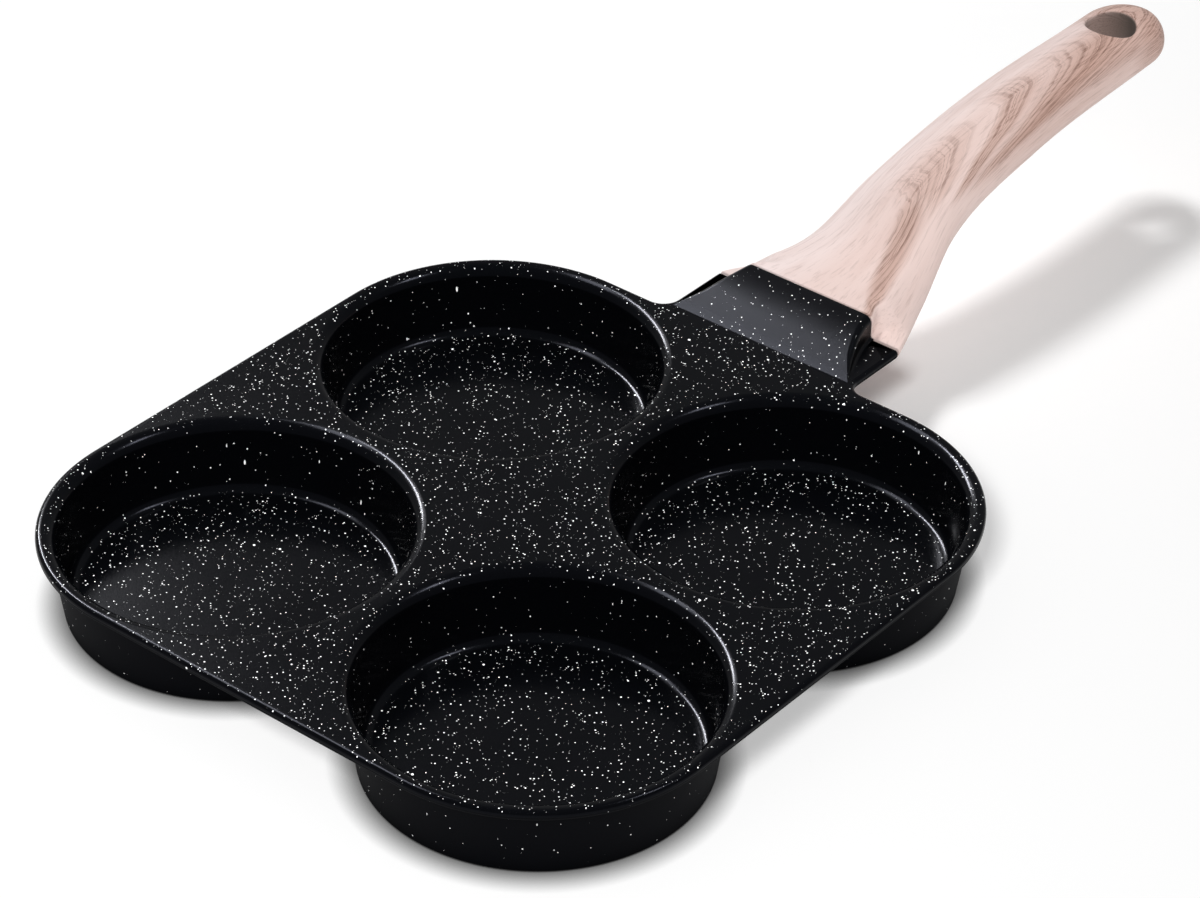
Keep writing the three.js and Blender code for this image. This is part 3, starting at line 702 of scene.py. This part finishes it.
def pressed_disc(number, centre, tree):
    blank = bpy.data.meshes.new(f"pressed_disc_{number}")
    disc = placed(blank.name, blank)
    pattern = disc.modifiers.new("perforations", "NODES")
    pattern.node_group = tree
    for item in tree.interface.items_tree:
        if item.in_out == "INPUT" and item.name in DISC_SIZES:
            pattern[item.identifier] = DISC_SIZES[item.name]
    settled(disc)
    disc.data.transform(Matrix.Translation((centre.x, centre.y, 0)))
    return smoothed(disc)


# %% [markdown]
# ## Screw and washers
# The handle is pulled onto its seat by one cross-headed screw with a spring washer and a plain washer under its head.
# They sit in a well below the handle. The shank's thread is a ring of points whose radius follows a triangle wave
# that climbs one pitch in each turn, and the spring washer is a square bar bent to a split, slightly rising ring.

# %% Make the fasteners
SCREW_HEAD_HEIGHT = 2.6 * MM
RECESS_WIDTH = 1.1 * MM
RECESS_LENGTH = 5.6 * MM
THREAD_PITCH = 0.8 * MM
THREAD_DEPTH = 0.45 * MM
PLAIN_WASHER_THICKNESS = 0.8 * MM
SPRING_WASHER_THICKNESS = 1.0 * MM
SPRING_WASHER_SPLIT = 20  # degrees
WASHER_BORE = SCREW_RADIUS + GAP
PLAIN_WASHER_TOP = SEAT_Z - GAP
SPRING_WASHER_TOP = PLAIN_WASHER_TOP - PLAIN_WASHER_THICKNESS - GAP
SCREW_HEAD_TOP = SPRING_WASHER_TOP - SPRING_WASHER_THICKNESS - GAP
THREAD_SEGMENTS = 48
THREAD_STEPS = 8
RECESS_TAPER = (1.1, 0.7)  # shares of its size at the mouth and at the floor
WASHER_STEPS = 3


def screw_head():
    bottom = SCREW_HEAD_TOP - SCREW_HEAD_HEIGHT
    dome = SCREW_HEAD_HEIGHT / 2
    edge = EDGE_ROUND / 3
    profile = [(0, bottom)]
    profile += arc((SCREW_HEAD_RADIUS - dome, bottom + dome), dome, -90, 0, FILLET_STEPS)
    profile += arc((SCREW_HEAD_RADIUS - edge, SCREW_HEAD_TOP - edge), edge, 0, 90, EDGE_STEPS)
    profile.append((0, SCREW_HEAD_TOP))
    return turned("cross_head_screw", profile, HANG_SEGMENTS, SCREW_CENTRE)


def screw_shank():
    low, high = SCREW_HEAD_TOP - SINK, TENON_TOP - SINK
    rings = []
    for height in np.arange(low, high, THREAD_PITCH / THREAD_STEPS):
        ring = []
        for a in angles_round(THREAD_SEGMENTS):
            turn = ((height - low) / THREAD_PITCH - a / (2 * math.pi)) % 1
            ring.append(polar(SCREW_CENTRE, SCREW_RADIUS - THREAD_DEPTH * abs(2 * turn - 1), a, height))
        rings.append(ring)
    return skinned("shank", rings)


def recess_bar(long_x):
    bottom = SCREW_HEAD_TOP - SCREW_HEAD_HEIGHT
    rings = []
    for height, share in zip((bottom - SINK, bottom + SCREW_HEAD_HEIGHT / 2), RECESS_TAPER):
        long, wide = RECESS_LENGTH / 2 * share, RECESS_WIDTH / 2 * share
        half_x, half_y = (long, wide) if long_x else (wide, long)
        corners = ((-1, -1), (1, -1), (1, 1), (-1, 1))
        rings.append([(SCREW_X + sx * half_x, sy * half_y, height) for sx, sy in corners])
    return skinned("recess", rings)


def washer(name, top, thickness, start, rise):
    """A ring of rectangular section with softened edges, split and rising where start isn't zero."""
    edge = EDGE_ROUND / 4
    inner, outer, upper = WASHER_BORE + edge, SCREW_HEAD_RADIUS - edge, thickness - edge
    section = []
    for corner, angle in (((inner, edge), 180), ((outer, edge), 270), ((outer, upper), 0), ((inner, upper), 90)):
        section += arc(corner, edge, angle, angle + 90, WASHER_STEPS)
    angles = np.linspace(math.radians(start), 2 * math.pi, HANG_SEGMENTS, endpoint=start > 0)
    rings = []
    for a in angles:
        lift = top - thickness + rise * (a / (2 * math.pi) - 0.5)
        rings.append([polar(SCREW_CENTRE, r, a, lift + z) for r, z in section])
    return smoothed(skinned(name, rings, looped=start == 0))


screw = worked(screw_head(), "UNION", [screw_shank()])
worked(screw, "DIFFERENCE", [recess_bar(True), recess_bar(False)])
smoothed(screw)
plain_washer = washer("plain_washer", PLAIN_WASHER_TOP, PLAIN_WASHER_THICKNESS, 0, 0)
spring_washer = washer("spring_washer", SPRING_WASHER_TOP, SPRING_WASHER_THICKNESS, SPRING_WASHER_SPLIT, GAP)

# %% [markdown]
# ## Helpers for finishes
# A finish is a small graph of nodes around one Principled shader. A socket knows the tree that it belongs to, so a
# step only needs its inputs. `calc` does one step of arithmetic, `ranged` is a soft ramp between two values,
# `blended` mixes two colours and `noise` is a cloudy pattern. `finish` starts a material with the constants of its
# shader, and `dressed` links what varies over the surface: its colour, its roughness and a fine bump.

# %% Node helpers
MIX_FIRST, MIX_SECOND, MIX_RESULT = 6, 7, 2  # the mix node's sockets for colours
NOISE_RANGE = 0.2, 0.8  # where nearly all values of a noise lie


def calc(operation, *values, clamp=False):
    tree = next(v for v in values if isinstance(v, bpy.types.NodeSocket)).id_data
    return node(tree, "ShaderNodeMath", dict(enumerate(values)), operation=operation, use_clamp=clamp).outputs[0]


def times(first, *others):
    for other in others:
        first = calc("MULTIPLY", first, other)
    return first


def largest(first, *others):
    for other in others:
        first = calc("MAXIMUM", first, other)
    return first


def sloped(value, slope, start):
    return calc("MULTIPLY_ADD", value, slope, start)


def ranged(value, low, high, to_low=0.0, to_high=1.0):
    inputs = {"Value": value, "From Min": low, "From Max": high, "To Min": to_low, "To Max": to_high}
    return node(value.id_data, "ShaderNodeMapRange", inputs, interpolation_type="SMOOTHSTEP").outputs["Result"]


def blended(share, first, second):
    inputs = {0: share, MIX_FIRST: first, MIX_SECOND: second}
    return node(share.id_data, "ShaderNodeMix", inputs, data_type="RGBA").outputs[MIX_RESULT]


def stretched(vector, scales):
    return node(vector.id_data, "ShaderNodeVectorMath", {0: vector, 1: scales}, operation="MULTIPLY").outputs[0]


def axes(vector):
    return node(vector.id_data, "ShaderNodeSeparateXYZ", {0: vector}).outputs


def noise(vector, scale, detail=2.0, roughness=0.5):
    inputs = {"Vector": vector, "Scale": scale, "Detail": detail, "Roughness": roughness}
    return node(vector.id_data, "ShaderNodeTexNoise", inputs).outputs["Fac"]


def finish(name, **constants):
    """A material with a Principled shader whose constants are set on its own sockets."""
    material = bpy.data.materials.new(name)
    material.use_nodes = True
    shader = material.node_tree.nodes["Principled BSDF"]
    for key, value in constants.items():
        shader.inputs[key.replace("_", " ")].default_value = value
    return material, material.node_tree, shader


def dressed(shader, colour, roughness, height, strength, depth):
    """Link a shader's colour, its roughness and a bump of some strength and depth."""
    tree = shader.id_data
    bump = node(tree, "ShaderNodeBump", {"Strength": strength, "Distance": depth, "Height": height}).outputs[0]
    for name, source in (("Base Color", colour), ("Roughness", roughness), ("Normal", bump)):
        tree.links.new(source, shader.inputs[name])


# %% [markdown]
# ## The speckled coating
# The casting is sprayed near-black and then spattered from above with pale specks. Most are under half a millimetre
# across, and a few reach 0.8 mm. Each kind is a field of cells in space: a speck is a small ball round a cell's own
# point, and a random value of the cell says whether it has one and how large it is. The surface then cuts those
# balls, which varies their size once more. Level faces catch the most specks and the bracket fewer, the cups have
# fewer as a painted shade of their hollows, and the walls few, some of them drawn out downwards. The outside of a
# wall is hardly reached by the spray and stays dull, and the bracket is satin. An image could hold all this, but a
# field in space needs no unwrapping and stays sharp.

# %% Coating material
COAT_TONES = (0.0003, 0.0004, 0.0006, 1), (0.0013, 0.0014, 0.002, 1)
COAT_TINT = (0.77, 0.81, 1, 1)
COAT_GLOSS = (0.15, 0.19)  # roughness where the coat is smoothest and dullest
COAT_BUMP = (0.45, 0.03 * MM)  # strength and depth
COAT_GRAIN, COAT_CLOUDS, WOBBLE_CELLS = 2600.0, 40.0, 1100.0  # cells in a metre
BRACKET_DULLER, OUTSIDE_DULLER = 0.13, 0.6
SPECK_TONES = (0.86, 0.87, 0.89, 1), (0.97, 0.97, 0.96, 1)
SPECK_EDGE = 0.03 * MM
SPECK_WOBBLE = 0.14 * MM
SIZE_POWER = 3.0  # the higher, the more of the specks are small
FINE_SPECKS = 1500.0, (0.048 * MM, 0.225 * MM)  # cells in a metre, and the least and largest radius
COARSE_SPECKS = 330.0, (0.165 * MM, 0.4 * MM)
RUN_SPECKS = 420.0, (0.12 * MM, 0.3 * MM)
RUN_STRETCH = (1, 1, 0.32)
RUN_SHARE = 0.16
FINE_SHARE, COARSE_SHARE = (0.5, 0.13), (0.3, 0.03)  # cells with a speck: more on level faces, and everywhere
FEWER_SPECKS_AS_CUP_SHADE, FEWER_ON_BRACKET, FEWER_OUTSIDE = 0.28, 0.6, 0.5
LEVEL_FACES, OUTER_FACES = (0.66, 0.96), (0.04, -0.1)  # how far up a face looks where each kind begins and is whole
BRACKET_FADE = 6.0 * MM
CUP_FADE = (16.0 * MM, 6.0 * MM)


def speck_layer(vector, kind, share):
    """A mask of round specks, and a tone for each. The share says how many cells hold a speck."""
    cells, sizes = kind
    small, large = (size * cells for size in sizes)
    field = node(vector.id_data, "ShaderNodeTexVoronoi", {"Vector": vector, "Scale": cells}, feature="F1").outputs
    random = node(vector.id_data, "ShaderNodeSeparateColor", {"Color": field["Color"]}).outputs
    radius = sloped(calc("POWER", random["Green"], SIZE_POWER), large - small, small)
    inside = calc("SUBTRACT", radius, field["Distance"])
    edge = calc("MULTIPLY", inside, 1 / (SPECK_EDGE * cells), clamp=True)
    return times(edge, calc("LESS_THAN", random["Red"], share)), random["Blue"]


def speckled_coating():
    material, tree, shader = finish("speckled coating", Specular_IOR_Level=0.07, Specular_Tint=COAT_TINT)
    place = node(tree, "ShaderNodeTexCoord").outputs["Object"]
    facing_up = axes(node(tree, "ShaderNodeNewGeometry").outputs["Normal"])["Z"]
    level = ranged(calc("ABSOLUTE", facing_up), *LEVEL_FACES)
    outside = ranged(facing_up, *OUTER_FACES)
    spot = axes(place)
    bracket = ranged(spot["X"], SIDE_X, SIDE_X + BRACKET_FADE)
    in_cup = ranged(spot["Z"], *CUP_FADE)
    # Fewer specks in the cups darken them: a painted shade of the hollows.
    spread = times(level, sloped(in_cup, -FEWER_SPECKS_AS_CUP_SHADE, sloped(bracket, -FEWER_ON_BRACKET, 1.0)))
    few = sloped(outside, -FEWER_OUTSIDE, 1.0)

    inputs = {"Vector": place, "Scale": WOBBLE_CELLS, "Detail": 1.0}
    shift = stretched(node(tree, "ShaderNodeTexNoise", inputs).outputs["Color"], (SPECK_WOBBLE,) * 3)
    shaken = node(tree, "ShaderNodeVectorMath", {0: place, 1: shift}, operation="ADD").outputs[0]
    fine, tone = speck_layer(shaken, FINE_SPECKS, times(sloped(spread, *FINE_SHARE), few))
    coarse, _ = speck_layer(shaken, COARSE_SPECKS, times(sloped(spread, *COARSE_SHARE), few))
    runs, _ = speck_layer(stretched(place, RUN_STRETCH), RUN_SPECKS, sloped(level, -RUN_SHARE, RUN_SHARE))
    specks = largest(fine, coarse, runs)

    grain = noise(place, COAT_GRAIN, 2.0, 0.6)
    gloss = ranged(noise(place, COAT_CLOUDS, 3.0), *NOISE_RANGE, *COAT_GLOSS)
    colour = blended(specks, blended(grain, *COAT_TONES), blended(tone, *SPECK_TONES))
    roughness = sloped(outside, OUTSIDE_DULLER, sloped(bracket, BRACKET_DULLER, gloss))
    dressed(shader, colour, roughness, grain, *COAT_BUMP)
    return material


coating = speckled_coating()
print("coating:", len(coating.node_tree.nodes), "nodes")

# %% [markdown]
# ## The wood print
# The handle is a plastic moulding with a printed wood grain, so the grain follows the surface and not a block of
# wood. Three values are stored on its points: the place in a straightened handle, how far round it lies from the
# ridge, and whether it lies on the hang hole's wall, which is dark and has painted shade darkening it towards one
# side. The print is drawn in that straightened space. An arch is where the way along the ridge and a leg that grows
# with the way round add up to one value, so it points to the hole and its legs sweep back to the pan on both flanks.
# A ramp says which arches are brown. The left side is painted paler, a painted highlight, and a brown band fills the
# throat, partly print and partly painted shade along the shoulder. Fine fibres break up every line, as the print of
# a real grain does.

# %% Print coordinates on the handle
GRAIN_HALF_WIDTH = 13.0 * MM
GRAIN_HALF_DEPTH = 8.0 * MM
HOLE_EDGE, HOLE_FADE = 0.5 * MM, 0.4 * MM
# Painted shade in the hang hole: the side towards which its wall darkens, and how much.
HOLE_PAINTED_SHADE_SIDE = (0.63, -0.78)
HOLE_PAINTED_SHADE_RANGE = (0.68, 0.32)


def store_print_coordinates(obj):
    mesh = obj.data
    points = np.empty(len(mesh.vertices) * 3, np.float32)
    mesh.vertices.foreach_get("co", points)
    x, y, z = points.reshape(-1, 3).astype(float).T
    along = np.clip(x - HANDLE_X, 0, HANDLE_LENGTH)
    kept = np.minimum(along, HANDLE_LENGTH - TAIL_ROUND)
    *_, middle = handle_frame(along)
    across = y / (width_at(kept) / 2)
    lift = (z - middle) / (depth_at(kept) / 2)
    grain = np.stack([along, across * GRAIN_HALF_WIDTH, lift * GRAIN_HALF_DEPTH], 1)
    # A point on the hole's wall is darkened, by a dark tone and by painted shade that grows towards one side.
    within = np.clip((HANG_RADIUS + HOLE_EDGE - np.hypot(x - HANG_X, y)) / HOLE_FADE, 0, 1)
    toward_painted_shade = (HOLE_PAINTED_SHADE_SIDE[0] * (x - HANG_X) + HOLE_PAINTED_SHADE_SIDE[1] * y) / HANG_RADIUS
    base, swing = HOLE_PAINTED_SHADE_RANGE
    for name, kind, field, values in (
        ("grain", "FLOAT_VECTOR", "vector", grain.ravel()),
        ("from_ridge", "FLOAT", "value", np.arctan2(np.abs(across), lift) / (math.pi / 2)),
        ("in_hole", "FLOAT", "value", within * np.clip(base + swing * toward_painted_shade, 0, 1)),
    ):
        mesh.attributes.new(name, kind, "POINT").data.foreach_set(field, values.astype(np.float32))
    print("print coordinates on", len(x), "points")


store_print_coordinates(handle)

# %% Wood print material
# The second pale colour is a painted highlight for the left side of the handle.
PALE, PAINTED_HIGHLIGHT = (0.82, 0.648, 0.604, 1), (0.88, 0.745, 0.72, 1)
WARM, BROWN = (0.52, 0.315, 0.25, 1), (0.17, 0.085, 0.06, 1)
# The hang hole's wall: a dark unprinted tone and painted shade.
HOLE_WALL_AND_PAINTED_SHADE = (0.1, 0.085, 0.075, 1)
EYE_END, EYE_ROUND = 36.0 * MM, 12.0 * MM  # arches start here along the ridge, with a rounded change
LEG, LEG_POWER = 125.0 * MM, 2.05
SWAY, JAG = 9.0 * MM, 3.4 * MM
SWAY_NOISE = (26, 150, 150), 2.0, 0.55  # cells in a metre along, across and up, then detail and roughness
JAG_NOISE = (50, 700, 700), 2.0, 0.6
FIBRE_NOISE = (110, 2300, 2300), 3.0, 0.65
BROAD_NOISE = (22, 420, 420), 2.0, 0.5
THROAT_LINE, THROAT_WIDTH = (-0.006 / MM, 0.44), (0.004 / MM, 0.05)  # slope and start, in shares of the way round
THROAT_EDGE = 1.0, 0.2
THROAT_END = 50.0 * MM, 34.0 * MM, 0.0, 0.8  # a ramp: where it starts and ends, and its values there
PAST_THROAT, THROAT_SLANT = (18.0 * MM, 34.0 * MM), 40.0 * MM
RIGHT_SIDE, PAINTED_HIGHLIGHT_SIDE = (6.0 * MM, -5.5 * MM, 0.1, 1.0), (-1.0 * MM, 7.0 * MM)
LOW_FLANK = 0.6, 0.8, 1.0, 0.28
TAIL_BROWN = 126.0 * MM, 150.0 * MM, 0.0, 0.85
RIPE_ALONG, RIPE_ROUND = (45.0 * MM, 110.0 * MM), (0.1, 0.5, 0.0, 0.2)
BROAD_RAMP, LINE_RAMP, FIBRE_RAMP = (0.4, 0.75), (0.46, 0.6), (0.5, 0.72)
LINE_BREAKS = 0.34, 0.62, 0.45, 1.0
PRINT_GLOSS = 0.42, 0.54
PRINT_BUMP = 0.12, 0.03 * MM
BROAD_SHARE, GROUP_SHARE, LINE_SHARE, FIBRE_SHARE = 0.16, 0.8, 0.9, (0.3, 0.2)  # of the darker colour
LINE_NOISE = 4.5 * MM, 5.0, 0.8  # pitch, detail and roughness
GROUPS_END = 200.0 * MM
ARCH_GROUPS = [  # how far along the ridge an arch lies, in mm, and how brown it is
    (38, 0.0), (42, 0.6), (54, 0.6), (66, 0.45), (72, 0.12), (80, 0.08), (86, 0.75), (96, 0.7), (101, 0.35),
    (106, 0.3), (112, 0.6), (122, 0.85), (134, 1.0), (146, 0.85), (158, 0.65), (172, 0.5), (200, 0.45),
]


def line_noise(value, pitch, detail, roughness):
    inputs = {"W": times(value, 1 / pitch), "Scale": 1.0, "Detail": detail, "Roughness": roughness}
    return node(value.id_data, "ShaderNodeTexNoise", inputs, noise_dimensions="1D").outputs["Fac"]


def grouped(arch):
    """How brown an arch is, by the group that it lies in."""
    ramp = node(arch.id_data, "ShaderNodeValToRGB", {"Fac": times(arch, 1 / GROUPS_END)})
    stops = ramp.color_ramp.elements
    stops.remove(stops[-1])
    for number, (place, strength) in enumerate(ARCH_GROUPS):
        position = place * MM / GROUPS_END
        stop = stops.new(position) if number else stops[0]
        stop.position = position
        stop.color = (strength, strength, strength, 1)
    return ramp.outputs["Color"]


def throat_print_and_shade(along, ridge):
    """A brown band, partly print and partly painted shade along the shoulder, that starts at the block's corner and
    widens up to the first arch.
    """
    off = calc("ABSOLUTE", calc("SUBTRACT", ridge, sloped(along, *THROAT_LINE)))
    off = calc("DIVIDE", off, sloped(along, *THROAT_WIDTH))
    return times(ranged(off, *THROAT_EDGE), ranged(along, *THROAT_END))


def wood_print():
    material, tree, shader = finish("wood print", Specular_IOR_Level=0.3)

    def stored(name, kind):
        return node(tree, "ShaderNodeAttribute", attribute_name=name).outputs[kind]

    def grain_noise(scales, detail, roughness):
        return noise(stretched(grain, scales), 1.0, detail, roughness)

    grain, ridge, hole = stored("grain", "Vector"), stored("from_ridge", "Fac"), stored("in_hole", "Fac")
    place = axes(grain)
    along, across = place["X"], place["Y"]

    leg = times(calc("POWER", ridge, LEG_POWER), LEG)
    arch = calc("ADD", calc("SMOOTH_MAX", along, EYE_END, EYE_ROUND), leg)
    arch = sloped(calc("SUBTRACT", grain_noise(*SWAY_NOISE), 0.5), SWAY, arch)
    arch = sloped(calc("SUBTRACT", grain_noise(*JAG_NOISE), 0.5), JAG, arch)

    past_throat = ranged(sloped(ridge, -THROAT_SLANT, along), *PAST_THROAT)
    right_side = ranged(across, *RIGHT_SIDE)
    low_flank = ranged(ridge, *LOW_FLANK)
    tail = ranged(along, *TAIL_BROWN)
    arches = times(grouped(arch), past_throat, right_side, low_flank)
    # The throat band is partly print and partly painted shade along the handle's shoulder.
    group = largest(arches, tail, times(throat_print_and_shade(along, ridge), right_side))

    fibre = grain_noise(*FIBRE_NOISE)
    broad = ranged(grain_noise(*BROAD_NOISE), *BROAD_RAMP)
    thin = ranged(line_noise(arch, *LINE_NOISE), *LINE_RAMP)
    line = times(thin, ranged(fibre, *LINE_BREAKS), group)
    ripe = times(ranged(along, *RIPE_ALONG), ranged(ridge, *RIPE_ROUND))

    # The left side is painted paler: a painted highlight.
    colour = blended(ranged(across, *PAINTED_HIGHLIGHT_SIDE), PALE, PAINTED_HIGHLIGHT)
    colour = blended(sloped(broad, BROAD_SHARE, ripe), colour, WARM)
    colour = blended(times(group, GROUP_SHARE), colour, WARM)
    colour = blended(times(line, LINE_SHARE), colour, BROWN)
    colour = blended(times(ranged(fibre, *FIBRE_RAMP), sloped(group, *FIBRE_SHARE)), colour, BROWN)
    # Darken the hang hole's wall with its dark tone and the painted shade stored on the points.
    colour = blended(hole, colour, HOLE_WALL_AND_PAINTED_SHADE)
    dressed(shader, colour, ranged(fibre, *NOISE_RANGE, *PRINT_GLOSS), fibre, *PRINT_BUMP)
    return material


print_finish = wood_print()
print("wood print:", len(print_finish.node_tree.nodes), "nodes")

# %% [markdown]
# ## Steel
# The discs are ground flat, which leaves fine straight lines, and the screw and washers are zinc-plated. Both are the
# same metal graph with other numbers: a stretched noise bends the surface and its gloss a little along the lines.

# %% Steel materials
DISC_TONES = (0.33, 0.33, 0.34, 1), (0.62, 0.62, 0.63, 1)
ZINC_TONES = (0.45, 0.45, 0.47, 1), (0.72, 0.72, 0.74, 1)
STEEL_CLOUDS = 90.0
STEEL_BUMP = 0.15, 0.02 * MM


def steel(name, tones, lines, gloss):
    material, tree, shader = finish(name, Metallic=1.0)
    place = node(tree, "ShaderNodeTexCoord").outputs["Object"]
    scratch = noise(stretched(place, lines), 1.0, 3.0, 0.6)
    patch = noise(place, STEEL_CLOUDS)
    colour = blended(sloped(scratch, 0.5, times(patch, 0.5)), *tones)
    dressed(shader, colour, ranged(scratch, *NOISE_RANGE, *gloss), scratch, *STEEL_BUMP)
    return material


disc_steel = steel("ground disc steel", DISC_TONES, (120, 5200, 900), (0.28, 0.46))
fastener_steel = steel("zinc plate", ZINC_TONES, (1500, 1500, 1500), (0.22, 0.36))
print("steels:", disc_steel.name, "and", fastener_steel.name)

# %% Discs from their tree
disc_tree = perforated_disc_tree(disc_steel)
discs = [pressed_disc(n, centre, disc_tree) for n, centre in enumerate(cup_centres, 1)]

# %% [markdown]
# ## Seat the pieces on the frame
# Each piece rides on the one body, takes its finish, and stands for its plain counterpart.

# %% Ride, slot and replace
pieces = [(casting, "speckled_coating", "pan_body", coating), (handle, "wood_print", "handle", print_finish)]
pieces += [(disc, "disc_steel", f"base_disc_{n}", disc_steel) for n, disc in enumerate(discs, 1)]
fasteners = (screw, "handle_screw"), (spring_washer, "lock_washer"), (plain_washer, "flat_washer")
pieces += [(piece, "fastener_steel", stands_for, fastener_steel) for piece, stands_for in fasteners]
for piece, slot, stands_for, material in pieces:
    piece.data.materials.clear()
    piece.data.materials.append(material)
    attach(piece, ROOT)
    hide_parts(stands_for)
triangles = sum(len(face.vertices) - 2 for piece, *_ in pieces for face in piece.data.polygons)
print("pieces:", len(pieces), "triangles:", triangles)

# %% [markdown]
# ## Floor and light
# The pan stands on a plain white floor. A studio would use a few large lamps and boards. Here each lamp has one task,
# and light linking says which pieces it lights and which ones shade it, so one can change without the others. Two
# lamps behind the pan share a place: one draws the handle's shadow, the other lights the pieces. One beside the
# camera gives the pan its narrow shadow, one on the right fills the handle, and one above lights the specks. Four
# more show only as reflections in the coating: they draw the lines on the fillets and the sheen on deck and bracket.
# The floor is darker close to the feet, by ambient occlusion, and glows a little for the camera and for reflections
# only, so that it reads as white while it keeps the shadow.

# %% Floor
FLOOR_DROP = 0.1 * MM
FLOOR_HALF = 6.0
FLOOR_WHITE = (0.92, 0.92, 0.92, 1)
FLOOR_GLOW = 0.11
CONTACT_REACH, CONTACT_POWER, CONTACT_SAMPLES = 7.5 * MM, 2.0, 16
floor = mesh_object(
    "floor",
    [(sx * FLOOR_HALF, sy * FLOOR_HALF, -FLOOR_DROP) for sx, sy in ((-1, -1), (1, -1), (1, 1), (-1, 1))],
    [(0, 1, 2, 3)],
)


def seen_rays(tree):
    """One for rays from the camera, gloss and glass, and zero for the light that pieces throw on each other."""
    path = node(tree, "ShaderNodeLightPath").outputs
    return largest(path["Is Glossy Ray"], path["Is Transmission Ray"], path["Is Camera Ray"])


def floor_paper():
    plain = {"Roughness": 0.9, "Specular_IOR_Level": 0.0, "Emission_Color": (1, 1, 1, 1)}
    material, tree, shader = finish("floor paper", **plain)
    nearby = node(tree, "ShaderNodeAmbientOcclusion", {"Distance": CONTACT_REACH}, samples=CONTACT_SAMPLES)
    contact = calc("POWER", nearby.outputs["AO"], CONTACT_POWER)
    tree.links.new(blended(contact, (0, 0, 0, 1), FLOOR_WHITE), shader.inputs["Base Color"])
    tree.links.new(times(seen_rays(tree), contact, FLOOR_GLOW), shader.inputs["Emission Strength"])
    return material


floor.data.materials.append(floor_paper())
print("floor", 2 * FLOOR_HALF, "m square")

# %% Lamps and world
LAMP_TARGET = Vector((PAN_MIDDLE_X + 30 * MM, 0, 15 * MM))
BEHIND = (0.397, 0.511, 0.763)
BESIDE_CAMERA = (-0.653, -0.327, 0.683)
WORLD_LIGHT, WORLD_SEEN = 0.13, 0.28


def group_of(name, members):
    group = bpy.data.collections.new(name)
    for member in members:
        group.objects.link(member)
    return group


def softbox(name, toward, distance, size, power, lights=None, shaded_by=None, mirrored=False):
    """A rectangular lamp that faces the pan. A mirrored one shows in gloss only, and the others never do."""
    data = bpy.data.lights.new(name, "AREA")
    data.shape = "RECTANGLE"
    data.size, data.size_y = size
    data.energy = power
    lamp = placed(name, data)
    direction = Vector(toward).normalized()
    lamp.location = LAMP_TARGET + direction * distance
    lamp.rotation_mode = "QUATERNION"
    lamp.rotation_quaternion = direction.to_track_quat("Z", "Y")
    lamp.visible_diffuse, lamp.visible_glossy = not mirrored, mirrored
    if lights:
        lamp.light_linking.receiver_collection = group_of(f"{name} lights", lights)
    if shaded_by:
        lamp.light_linking.blocker_collection = group_of(f"{name} shadow", shaded_by)


softbox("floor lamp", BEHIND, 1.5, (0.25, 0.25), 12.7, lights=[floor], shaded_by=[handle])
softbox("back lamp", BEHIND, 1.5, (0.25, 0.25), 12.7, lights=[piece for piece, *_ in pieces])
softbox("front lamp", BESIDE_CAMERA, 1.5, (0.3, 0.3), 14.1, shaded_by=[casting])
softbox("side lamp", (0.2, -0.93, 0.3), 1.4, (0.9, 0.9), 6.2, lights=[handle])
softbox("speck lamp", (-0.25, -0.1, 0.96), 1.5, (0.5, 0.5), 24.0, lights=[casting])
for name, toward, distance, size, power in (
    ("sheen lamp", (0.0, 0.52, 0.85), 1.4, (0.55, 0.3), 9.0),
    ("glint lamp", (0.26, 0.733, 0.629), 1.5, (0.12, 0.58), 28.0),
    ("line lamp", (0.268, -0.413, 0.87), 1.4, (0.14, 0.3), 6.0),
    ("glow lamp", (0.41, 0.71, 0.574), 1.5, (0.3, 0.3), 1.5),
):
    softbox(name, toward, distance, size, power, lights=[casting], mirrored=True)
print("lamps:", len(bpy.data.lights))

world = bpy.data.worlds.new("studio")
world.use_nodes = True
backdrop = world.node_tree.nodes["Background"].inputs
backdrop["Color"].default_value = (1, 1, 1, 1)
world.node_tree.links.new(sloped(seen_rays(world.node_tree), WORLD_SEEN, WORLD_LIGHT), backdrop["Strength"])
bpy.context.scene.world = world
bpy.context.scene.view_settings.view_transform = "Standard"
